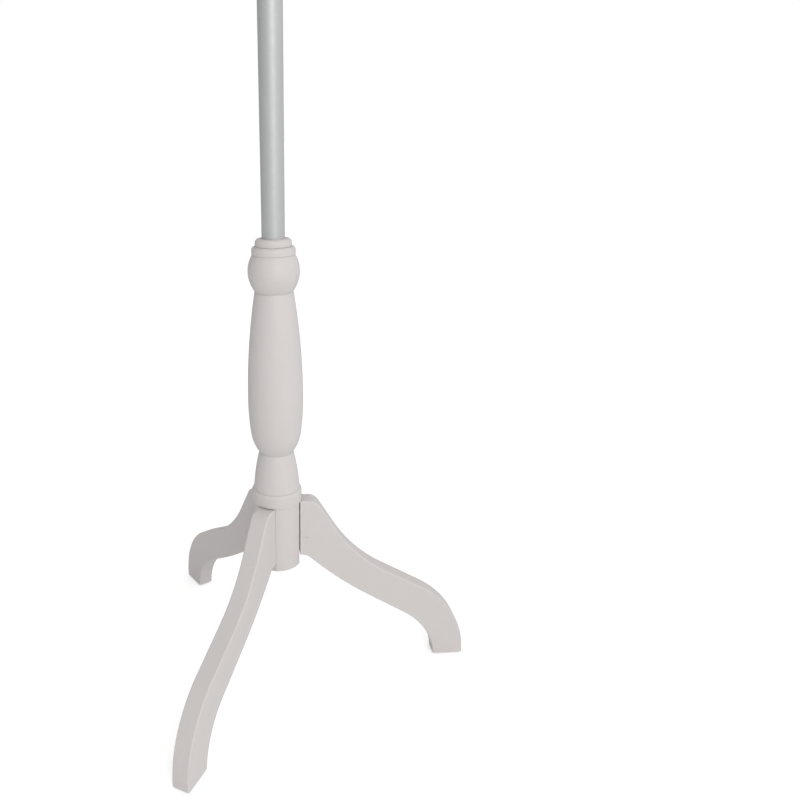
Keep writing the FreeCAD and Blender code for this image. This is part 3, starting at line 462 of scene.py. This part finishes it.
def satin_tube():
    """Drawn steel tube under satin silver lacquer: lengthwise streaks, faint blotches, tiny pits."""
    sizes = bpy.context.scene.lamp_metal
    finish = Finish("Satin tube")
    base = finish.colour(sizes.tube_colour, 16.0, 0.05)
    pits = finish.specks(420.0, 0.16)
    finish.feed("Base Color", finish.blend(finish.spread(pits, 0.0, 0.25), base, (0.40, 0.40, 0.41)))
    drawn = finish.streaks((900.0, 900.0, 9.0))
    cloudy = finish.noise(140.0, 5.0)
    low = sizes.tube_roughness - 0.07
    finish.feed("Roughness", finish.spread(cloudy, low, low + 0.16))
    finish.bumps((drawn, 0.00003), (finish.noise(900.0, 2.0), 0.00002))
    finish.set(Metallic=0.6)
    return finish.material


def bright_metal(name, colour, roughness, threaded=False):
    """A small machined or pressed piece: spun marks, finger-dulled patches and painted shade darkening its
    corners.
    """
    sizes = bpy.context.scene.lamp_metal
    finish = Finish(name)
    base = finish.colour(colour, 45.0, 0.07)
    crevice_shade_mask = use_group(finish.tree, "Crevice shade", build_crevice_shade, {"Reach": 0.003}).outputs["Mask"]
    # Painted shade: the metal's colour darkened down in corners and grooves.
    corner_shade_colour = tuple(0.55 * part for part in colour)
    finish.feed("Base Color", finish.blend(finish.spread(crevice_shade_mask, 0.0, 0.7), base, corner_shade_colour))
    finish.feed("Roughness", finish.spread(finish.noise(190.0, 4.0), roughness - 0.08, roughness + 0.12))
    layers = [(finish.streaks((60.0, 60.0, 1500.0)), 0.00002)]
    if threaded:
        thread = use_group(finish.tree, "Screw thread", build_screw_thread,
                           {"Vector": finish.place, "Pitch": sizes.thread_pitch})
        layers.insert(0, (thread.outputs["Height"], 0.0005))
    finish.bumps(*layers)
    finish.set(Metallic=1.0)
    return finish.material


def zinc_passivate():
    """Zinc plate with the faint yellow and blue bloom of its passivation."""
    finish = Finish("Zinc plate")
    bloom = finish.noise(70.0, 5.0)
    base = finish.blend(finish.spread(bloom, 0.0, 1.0), (0.56, 0.58, 0.60), (0.66, 0.63, 0.55))
    # Painted shade: the plate's colour darkened down in corners and grooves.
    crevice_shade_mask = use_group(finish.tree, "Crevice shade", build_crevice_shade, {"Reach": 0.003}).outputs["Mask"]
    finish.feed("Base Color", finish.blend(finish.spread(crevice_shade_mask, 0.0, 0.6), base, (0.30, 0.30, 0.29)))
    finish.feed("Roughness", finish.spread(finish.noise(240.0, 4.0), 0.30, 0.52))
    finish.bumps((finish.noise(1400.0, 3.0), 0.00003), (finish.specks(700.0, 0.2), 0.00003))
    finish.set(Metallic=1.0)
    return finish.material


def moulded_plastic():
    """Black thermoset plastic: fine spark-eroded grain, greyer along its outward edges."""
    finish = Finish("Black plastic")
    base = finish.colour((0.024, 0.023, 0.022), 120.0, 0.2)
    # Lighter grey along the outward edges.
    outer_edges = finish.edges(0.0006)
    finish.feed("Base Color", finish.blend(finish.spread(outer_edges, 0.0, 0.6), base, (0.075, 0.072, 0.07)))
    finish.feed("Roughness", finish.spread(finish.noise(300.0), 0.36, 0.55))
    finish.bumps((finish.noise(2600.0, 2.0), 0.00004))
    return finish.material


def fibre_sleeve():
    """The holder's insulating sleeve of pressed, waxed paper."""
    finish = Finish("Fibre sleeve")
    base = finish.colour((0.46, 0.34, 0.21), 90.0, 0.15)
    flecks = finish.specks(900.0, 0.3)
    finish.feed("Base Color", finish.blend(finish.spread(flecks, 0.0, 0.5), base, (0.30, 0.21, 0.12)))
    finish.feed("Roughness", finish.spread(finish.noise(260.0), 0.55, 0.75))
    finish.bumps((finish.streaks((900.0, 900.0, 60.0)), 0.00005))
    return finish.material


def frosted_glass():
    """The bulb's glass, frosted on the inside so that it looks milky."""
    finish = Finish("Frosted glass")
    finish.feed("Base Color", finish.colour((0.94, 0.93, 0.90), 40.0, 0.02))
    finish.feed("Roughness", finish.spread(finish.noise(900.0), 0.22, 0.38))
    finish.bumps((finish.noise(1500.0, 2.0), 0.00002))
    finish.set(IOR=1.5, Transmission_Weight=0.1)
    return finish.material


def pressed_felt():
    """Grey-brown needled felt: matted fibres and a fuzzy relief."""
    finish = Finish("Pressed felt")
    fibres = finish.streaks((2600.0, 1500.0, 2200.0))
    tangled = finish.noise(3200.0, 4.0)
    base = finish.blend(finish.spread(fibres, 0.0, 1.0), (0.20, 0.18, 0.16), (0.33, 0.30, 0.27))
    finish.feed("Base Color", finish.blend(finish.spread(tangled, 0.0, 0.5), base, (0.16, 0.145, 0.13)))
    finish.feed("Roughness", finish.spread(tangled, 0.9, 1.0))
    finish.bumps((fibres, 0.0003), (tangled, 0.0003))
    finish.set(Sheen_Weight=0.4, Sheen_Roughness=0.6, Specular_IOR_Level=0.2)
    return finish.material


def round_the_cone(finish, radius):
    """Cloth coordinates in metres: X round the shade at its mean radius and Y up it."""
    parts = add_node(finish.tree, "ShaderNodeSeparateXYZ", None, {0: finish.place})
    angle = math_node(finish.tree, "ARCTAN2", parts.outputs[1], parts.outputs[0])
    across = math_node(finish.tree, "MULTIPLY", angle, radius)
    joined = add_node(finish.tree, "ShaderNodeCombineXYZ", None, {0: across, 1: parts.outputs[2]})
    return joined.outputs[0]


def slubby_linen(name, colour, radius):
    """Plain-woven linen with thick and thin threads both ways."""
    sizes = bpy.context.scene.lamp_shade
    finish = Finish(name)
    cloth = round_the_cone(finish, radius)
    weave = use_group(finish.tree, "Plain weave", build_weave,
                      {"Vector": cloth, "Threads": 1.0 / sizes.thread_gap})
    weft = finish.streaks((22.0, 620.0, 1.0), cloth)
    warp = finish.streaks((620.0, 22.0, 1.0), cloth)
    slubs = math_node(finish.tree, "MAXIMUM", weft, warp)
    shade = tuple(part * tint for part, tint in zip(colour, (0.80, 0.76, 0.70)))
    pale = tuple(min(1.0, 1.10 * part) for part in colour)
    base = finish.colour(colour, 7.0, 0.03)
    thin = finish.blend(finish.spread(weave.outputs["Gaps"], 0.0, 0.55), base, shade)
    contrast = add_node(finish.tree, "ShaderNodeMapRange", None,
                        {"Value": slubs, "From Min": 0.50, "From Max": 0.78, "To Min": 0.0, "To Max": 0.85})
    finish.feed("Base Color", finish.blend(contrast.outputs[0], thin, pale))
    finish.feed("Roughness", finish.spread(slubs, 0.95, 0.78))
    finish.bumps((weave.outputs["Height"], 0.00012), (slubs, 0.0004))
    finish.set(Sheen_Weight=0.25, Sheen_Roughness=0.5, Specular_IOR_Level=0.25)
    return finish.material


def stiff_lining():
    """The smooth white plastic sheet that backs the linen."""
    sizes = bpy.context.scene.lamp_shade
    finish = Finish("Shade lining")
    finish.feed("Base Color", finish.colour(sizes.lining_colour, 12.0, 0.02))
    finish.feed("Roughness", finish.spread(finish.noise(220.0, 4.0), 0.45, 0.6))
    cloth = round_the_cone(finish, 0.19)
    weave = use_group(finish.tree, "Plain weave", build_weave,
                      {"Vector": cloth, "Threads": 1.0 / sizes.thread_gap})
    finish.bumps((weave.outputs["Height"], 0.00003), (finish.noise(25.0, 2.0), 0.0006))
    return finish.material


def studio_floor():
    """Plain pale floor, seen from above only."""
    finish = Finish("Studio floor")
    finish.feed("Base Color", finish.colour((0.88, 0.88, 0.88), 0.6, 0.004))
    finish.feed("Roughness", finish.spread(finish.noise(3.0), 0.85, 0.95))
    surface = finish.tree.nodes.new("ShaderNodeNewGeometry")
    from_above = math_node(finish.tree, "SUBTRACT", 1.0, surface.outputs["Backfacing"])
    finish.feed("Alpha", from_above)
    seen = finish.tree.nodes.new("ShaderNodeLightPath").outputs["Is Camera Ray"]
    finish.feed("Emission Color", finish.blend(seen, (0.0, 0.0, 0.0), (0.45, 0.45, 0.45)))
    finish.set(Specular_IOR_Level=0.1, Emission_Strength=1.0)
    return finish.material


# ---- Mesh helpers -------------------------------------------------------------------------------
def dress(material, *names):
    """Gives one material to every slot of the packed nodes named."""
    for name in names:
        node = bpy.data.objects[name]
        if not node.material_slots:
            node.data.materials.append(material)
        for slot in node.material_slots:
            slot.material = material


def make_piece(name, mesh, body, slot, *materials):
    """A new object that rides on a body and has smooth faces."""
    piece = bpy.data.objects.new(name, mesh)
    bpy.context.scene.collection.objects.link(piece)
    for material in materials:
        mesh.materials.append(material)
    for face in mesh.polygons:
        face.use_smooth = True
    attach(piece, body)
    return piece


def ring_mesh(name, section, turns, lift=None):
    """A closed section of (radius, height, material index) points carried round the upright axis."""
    mesh = bmesh.new()
    rows = []
    for step in range(turns):
        angle = 2 * math.pi * step / turns
        row = []
        for radius, height, _ in section:
            out = radius + (lift(angle, height) if lift else 0.0)
            row.append(mesh.verts.new((out * math.cos(angle), out * math.sin(angle), height)))
        rows.append(row)
    count = len(section)
    for step in range(turns):
        here, there = rows[step], rows[(step + 1) % turns]
        for index in range(count):
            after = (index + 1) % count
            face = mesh.faces.new((here[index], there[index], there[after], here[after]))
            face.material_index = section[index][2]
    bmesh.ops.recalc_face_normals(mesh, faces=mesh.faces)
    data = bpy.data.meshes.new(name)
    mesh.to_mesh(data)
    mesh.free()
    return data


class Cone:
    """The shade's outer face, read from the packed cover."""

    def __init__(self):
        low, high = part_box("shade_cover")
        self.bottom, self.top = low.z, high.z
        points = [vertex.co for vertex in bpy.data.objects["shade_cover"].data.vertices]
        self.bottom_radius = max(math.hypot(p.x, p.y) for p in points if p.z < self.bottom + RIM_DEPTH)
        self.top_radius = max(math.hypot(p.x, p.y) for p in points if p.z > self.top - RIM_DEPTH)
        self.slope = (self.bottom_radius - self.top_radius) / (self.top - self.bottom)

    def radius(self, height):
        return self.bottom_radius - (height - self.bottom) * self.slope


# ---- Operators: one for each piece or group of like pieces --------------------------------------
class LAMP_OT_column(bpy.types.Operator):
    """Paint the turned column"""

    bl_idname = "lamp.column"
    bl_label = "Paint the column"

    def execute(self, context):
        dress(painted_turning(), "column")
        return {"FINISHED"}


class LAMP_OT_legs(bpy.types.Operator):
    """Paint the three legs, each with its own grain"""

    bl_idname = "lamp.legs"
    bl_label = "Paint the legs"

    def execute(self, context):
        low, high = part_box("leg_right")
        nick_height = 0.79 * high.z
        nicks = {"right": (Vector((low.x + 0.008, 0.0, nick_height)), 0.0028, 0.0004)}
        for name, degrees in LEG_TURNS.items():
            dress(painted_board(name, math.radians(degrees), nicks.get(name)), f"leg_{name}")
        return {"FINISHED"}


class LAMP_OT_foot_pads(bpy.types.Operator):
    """Cut the felt pads under the feet"""

    bl_idname = "lamp.foot_pads"
    bl_label = "Cut the foot pads"

    def execute(self, context):
        felt = pressed_felt()
        for name, degrees in LEG_TURNS.items():
            low, high = turned_box(f"foot_pad_{name}", degrees)
            mesh = felt_mesh(f"felt_{name}", low, high, degrees)
            mesh.transform(Matrix.Rotation(math.radians(degrees), 4, "Z"))
            pad = make_piece(f"felt_pad_{name}", mesh, "stand", "felt", felt)
            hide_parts(f"foot_pad_{name}")
        return {"FINISHED"}


def turned_box(name, degrees):
    """The lowest and highest corners of a packed node, seen with its leg turned back to point along X."""
    turn = Matrix.Rotation(math.radians(-degrees), 3, "Z")
    points = [turn @ vertex.co for vertex in bpy.data.objects[name].data.vertices]
    low = Vector(min(point[axis] for point in points) for axis in range(3))
    high = Vector(max(point[axis] for point in points) for axis in range(3))
    return low, high


def felt_mesh(name, low, high, seed):
    """A die-cut felt pad with rounded corners, a bulged edge and slightly uneven faces."""
    middle = (low + high) / 2
    half = (high - low) / 2
    corner = 0.0025
    spacing = 0.0012
    outline = []
    for side_x, side_y, start in ((1, 1, 0), (-1, 1, 90), (-1, -1, 180), (1, -1, 270)):
        for step in range(7):
            angle = math.radians(start + 15.0 * step)
            outline.append((side_x * (half.x - corner) + corner * math.cos(angle),
                            side_y * (half.y - corner) + corner * math.sin(angle)))
    outline = filled_out(outline, spacing)
    mesh = bmesh.new()
    rows = []
    for share, tuck in ((1.0, 0.0005), (0.8, 0.00012), (0.5, 0.0), (0.2, 0.00012), (0.0, 0.0005)):
        row = []
        for index, (x, y) in enumerate(outline):
            fuzz = 0.00012 * math.sin(3.1 * index + seed) + 0.00008 * math.sin(7.7 * index + 2.0 * seed)
            reach = math.hypot(x, y)
            shrink = 1.0 - (tuck + abs(fuzz)) / reach
            row.append(mesh.verts.new((middle.x + x * shrink, middle.y + y * shrink,
                                       low.z + share * (high.z - low.z))))
        rows.append(row)
    count = len(outline)
    for upper, lower in zip(rows, rows[1:]):
        for index in range(count):
            after = (index + 1) % count
            mesh.faces.new((upper[index], lower[index], lower[after], upper[after]))
    mesh.faces.new(rows[0])
    mesh.faces.new(rows[-1])
    bmesh.ops.recalc_face_normals(mesh, faces=mesh.faces)
    data = bpy.data.meshes.new(name)
    mesh.to_mesh(data)
    mesh.free()
    return data


def filled_out(outline, spacing):
    """A closed outline with points added so that none are further apart than the spacing."""
    points = []
    for (x1, y1), (x2, y2) in zip(outline, outline[1:] + outline[:1]):
        steps = max(1, math.ceil(math.hypot(x2 - x1, y2 - y1) / spacing))
        points += [(x1 + (x2 - x1) * k / steps, y1 + (y2 - y1) * k / steps) for k in range(steps)]
    return points


class LAMP_OT_fastenings(bpy.types.Operator):
    """Plate the hidden screws, studs, keyhole plates and the tie rod's nut"""

    bl_idname = "lamp.fastenings"
    bl_label = "Plate the fastenings"

    def execute(self, context):
        plates = [f"keyhole_plate_{name}" for name in LEG_TURNS]
        dress(zinc_passivate(), "plate_screws", "leg_studs", "tie_washer", "tie_nut", "pole_foot", *plates)
        dress(bright_metal("Threaded zinc", (0.60, 0.60, 0.57), 0.34, threaded=True),
              "tie_tube", "nipple", "nipple_nut")
        return {"FINISHED"}


class LAMP_OT_pole(bpy.types.Operator):
    """Finish the two lengths of tube and their joint"""

    bl_idname = "lamp.pole"
    bl_label = "Finish the pole"

    def execute(self, context):
        dress(satin_tube(), "pole_lower", "pole_upper")
        dress(bright_metal("Turned collar", (0.60, 0.61, 0.62), 0.30), "pole_coupler", "pole_cap")
        return {"FINISHED"}


class LAMP_OT_head(bpy.types.Operator):
    """Finish the lampholder, harp and saddle"""

    bl_idname = "lamp.head"
    bl_label = "Finish the head"

    def execute(self, context):
        bright = bright_metal("Plated fittings", (0.62, 0.62, 0.63), 0.28)
        dress(bright, "harp_saddle", "harp", "harp_sleeve_left", "harp_sleeve_right",
              "harp_stud", "finial", "holder_cap", "holder_shell")
        dress(bright_metal("Brass contacts", (0.75, 0.55, 0.24), 0.30), "screw_shell", "centre_contact")
        dress(moulded_plastic(), "cord_grommet", "switch_key", "switch_body")
        dress(fibre_sleeve(), "holder_liner")
        return {"FINISHED"}


class LAMP_OT_bulb(bpy.types.Operator):
    """Finish the bulb's glass and its screw base"""

    bl_idname = "lamp.bulb"
    bl_label = "Finish the bulb"

    def execute(self, context):
        dress(frosted_glass(), "bulb_globe")
        dress(bright_metal("Bulb base", (0.68, 0.67, 0.64), 0.32, threaded=True), "bulb_base")
        return {"FINISHED"}


class LAMP_OT_shade_frame(bpy.types.Operator):
    """Finish the shade's rings and the three-armed carrier"""

    bl_idname = "lamp.shade_frame"
    bl_label = "Finish the shade's frame"

    def execute(self, context):
        dress(bright_metal("Shade wire", (0.66, 0.65, 0.62), 0.38), "shade_spider", "shade_top_ring",
              "shade_bottom_ring")
        return {"FINISHED"}


class LAMP_OT_shade_cloth(bpy.types.Operator):
    """Cut the shade's linen and roll its two hems"""

    bl_idname = "lamp.shade_cloth"
    bl_label = "Cover the shade"

    def execute(self, context):
        sizes = context.scene.lamp_shade
        cone = Cone()
        mean = (cone.bottom_radius + cone.top_radius) / 2
        linen = slubby_linen("Linen", sizes.linen_colour, mean)
        tape_colour = tuple(0.96 * part for part in sizes.linen_colour)
        tape = slubby_linen("Linen tape", tape_colour, mean)
        cover = make_piece("linen_cover", cover_mesh(cone, sizes), "shade", "linen", linen, stiff_lining())
        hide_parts("shade_cover")
        for place, edge, inward in (("bottom", cone.bottom, 1.0), ("top", cone.top, -1.0)):
            low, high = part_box(f"shade_trim_{place}")
            mesh = hem_mesh(cone, edge, inward, high.z - low.z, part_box(f"shade_{place}_ring"))
            hem = make_piece(f"hem_{place}", mesh, "shade", "trim_tape", tape)
            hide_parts(f"shade_trim_{place}")
        return {"FINISHED"}


def cover_mesh(cone, sizes):
    """The linen and its lining as one thin cone, with the glued lap down the back."""
    skin = 0.0009
    steps = 28
    heights = [cone.bottom + (cone.top - cone.bottom) * step / steps for step in range(steps + 1)]
    outer = [(cone.radius(height), height, 0) for height in heights]
    inner = [(cone.radius(height) - skin, height, 1) for height in reversed(heights)]
    lap_at = math.pi / 2
    mean = (cone.bottom_radius + cone.top_radius) / 2

    def lap(angle, height):
        """The cloth's outer end rides up over the first end, and stops at a cut edge."""
        along = ((angle - lap_at + math.pi) % (2 * math.pi) - math.pi) * mean
        if along > 0.0 or along < -2.0 * sizes.lap_width:
            return 0.0
        rise = min(1.0, (along + 2.0 * sizes.lap_width) / sizes.lap_width)
        return sizes.lap_step * rise * rise * (3.0 - 2.0 * rise)

    return ring_mesh("linen_cover", outer + inner, COVER_STEPS, lap)


def hem_mesh(cone, edge, inward, width, ring_box):
    """Tape glued down the outside, rolled round the wire ring and tucked in behind it."""
    tape = 0.0006
    lip = 0.0004
    ring_low, ring_high = ring_box
    wire = (ring_high.z - ring_low.z) / 2
    centre_z = (ring_high.z + ring_low.z) / 2
    centre_r = ring_high.x - wire
    outside = [(cone.radius(edge + inward * width * share) + tape, edge + inward * width * share)
               for share in (1.0, 0.75, 0.5, 0.25)]
    around = []
    for degrees in range(0, 200, 20):
        angle = math.radians(degrees)
        around.append((centre_r - (wire + tape) * math.cos(angle + math.pi),
                       centre_z - inward * (wire + lip) * math.sin(angle)))
    section = [(r, z, 0) for r, z in thick_strip(outside + around, tape)]
    return ring_mesh("hem", section, HEM_STEPS)


def thick_strip(path, thickness):
    """A closed outline as thick as given, to the inner side of an open path of (radius, height) points."""
    inner = []
    for index, (r, z) in enumerate(path):
        before, after = path[max(0, index - 1)], path[min(len(path) - 1, index + 1)]
        run = Vector((after[0] - before[0], after[1] - before[1])).normalized()
        inner.append((r - run.y * thickness, z + run.x * thickness))
    return path + inner[::-1]


class LAMP_OT_stage(bpy.types.Operator):
    """Set out the floor, the lights and the camera"""

    bl_idname = "lamp.stage"
    bl_label = "Set the stage"

    def execute(self, context):
        make_floor()
        make_surround(context.scene)
        make_key_light(context.scene.lamp_stage)
        make_camera(context.scene)
        return {"FINISHED"}


def make_floor():
    floor_radius = 38.0
    data = bpy.data.meshes.new("floor")
    mesh = bmesh.new()
    bmesh.ops.create_circle(mesh, cap_ends=True, segments=128, radius=floor_radius)
    mesh.to_mesh(data)
    mesh.free()
    floor = bpy.data.objects.new("floor", data)
    data.materials.append(studio_floor())
    bpy.context.scene.collection.objects.link(floor)


def make_surround(scene):
    """A white studio, brighter on the right and in front than on the left and behind."""
    bright_side = (0.80, -0.56, 0.20)
    world = bpy.data.worlds.new("Studio")
    scene.world = world
    world.use_nodes = True
    tree = world.node_tree
    lit = tree.nodes["Background"]
    lit.inputs["Color"].default_value = (1.0, 1.0, 1.0, 1.0)
    direction = tree.nodes.new("ShaderNodeTexCoord").outputs["Generated"]
    facing = add_node(tree, "ShaderNodeVectorMath", {"operation": "DOT_PRODUCT"},
                      {0: direction, 1: bright_side})
    level = add_node(tree, "ShaderNodeMapRange", None, {
        "Value": facing.outputs["Value"], "From Min": -0.9, "From Max": 0.9, "To Min": 0.34, "To Max": 1.0})
    tree.links.new(level.outputs[0], lit.inputs["Strength"])
    backdrop = add_node(tree, "ShaderNodeBackground", None, {"Color": (1.0, 1.0, 1.0, 1.0), "Strength": 1.0})
    seen = tree.nodes.new("ShaderNodeLightPath").outputs["Is Camera Ray"]
    choice = add_node(tree, "ShaderNodeMixShader", None, {0: seen})
    tree.links.new(lit.outputs[0], choice.inputs[1])
    tree.links.new(backdrop.outputs[0], choice.inputs[2])
    tree.links.new(choice.outputs[0], tree.nodes["World Output"].inputs["Surface"])
    scene.view_settings.view_transform = "Standard"


def make_key_light(sizes):
    disc_width = 0.9
    middle_of_stand = Vector((0.0, 0.0, 0.35))
    data = bpy.data.lights.new("Key light", "AREA")
    data.shape = "DISK"
    data.size = disc_width
    data.energy = sizes.key_strength
    key = bpy.data.objects.new("Key light", data)
    key.location = (0.45, -1.85, 1.15)
    key.visible_camera = False
    aim = middle_of_stand - key.location
    key.rotation_mode = "QUATERNION"
    key.rotation_quaternion = aim.to_track_quat("-Z", "Y")
    bpy.context.scene.collection.objects.link(key)


def make_camera(scene):
    """The camera, looking down at the foot of the lamp with the lamp left of the middle."""
    sizes = scene.lamp_stage
    data = bpy.data.cameras.new("Camera")
    data.lens = sizes.lens
    data.sensor_width = 36.0
    data.shift_x = sizes.shift_right
    data.shift_y = sizes.shift_up
    camera = bpy.data.objects.new("Camera", data)
    scene.collection.objects.link(camera)
    heading = sizes.turn - sizes.swing
    forward = Vector((math.sin(heading) * math.cos(sizes.tilt), math.cos(heading) * math.cos(sizes.tilt),
                      -math.sin(sizes.tilt)))
    right = Vector((math.cos(heading), -math.sin(heading), 0.0))
    up = right.cross(forward)
    leaned_right = right * math.cos(sizes.roll) + up * math.sin(sizes.roll)
    leaned_up = up * math.cos(sizes.roll) - right * math.sin(sizes.roll)
    axes = Matrix((leaned_right, leaned_up, -forward)).transposed()
    place = Vector((-sizes.distance * math.sin(sizes.turn), -sizes.distance * math.cos(sizes.turn),
                    sizes.height))
    camera.matrix_world = Matrix.Translation(place) @ axes.to_4x4()
    scene.camera = camera


class LAMP_PT_sidebar(bpy.types.Panel):
    """Lists the making of the lamp, piece by piece"""

    bl_idname = "LAMP_PT_sidebar"
    bl_label = "Tripod floor lamp"
    bl_space_type = "VIEW_3D"
    bl_region_type = "UI"
    bl_category = "Lamp"

    def draw(self, context):
        for operator in OPERATORS:
            self.layout.operator(operator.bl_idname)
        for title, group in GROUPS.items():
            box = self.layout.box()
            box.label(text=group.__doc__)
            for key in group.__annotations__:
                box.prop(getattr(context.scene, title), key)


OPERATORS = (LAMP_OT_column, LAMP_OT_legs, LAMP_OT_foot_pads, LAMP_OT_fastenings, LAMP_OT_pole, LAMP_OT_head,
             LAMP_OT_bulb, LAMP_OT_shade_frame, LAMP_OT_shade_cloth, LAMP_OT_stage)
GROUPS = {"lamp_paint": LampPaint, "lamp_metal": LampMetal, "lamp_shade": LampShade, "lamp_stage": LampStage}


def register():
    for group in (*GROUPS.values(), *OPERATORS, LAMP_PT_sidebar):
        bpy.utils.register_class(group)
    for title, group in GROUPS.items():
        setattr(bpy.types.Scene, title, bpy.props.PointerProperty(type=group))


def unregister():
    for title in GROUPS:
        delattr(bpy.types.Scene, title)
    for group in reversed((*GROUPS.values(), *OPERATORS, LAMP_PT_sidebar)):
        bpy.utils.unregister_class(group)


def main():
    register()
    bpy.ops.lamp.column()
    bpy.ops.lamp.legs()
    bpy.ops.lamp.foot_pads()
    bpy.ops.lamp.fastenings()
    bpy.ops.lamp.pole()
    bpy.ops.lamp.head()
    bpy.ops.lamp.bulb()
    bpy.ops.lamp.shade_frame()
    bpy.ops.lamp.shade_cloth()
    bpy.ops.lamp.stage()
    bpy.context.view_layer.update()


if __name__ == "__main__":
    main()
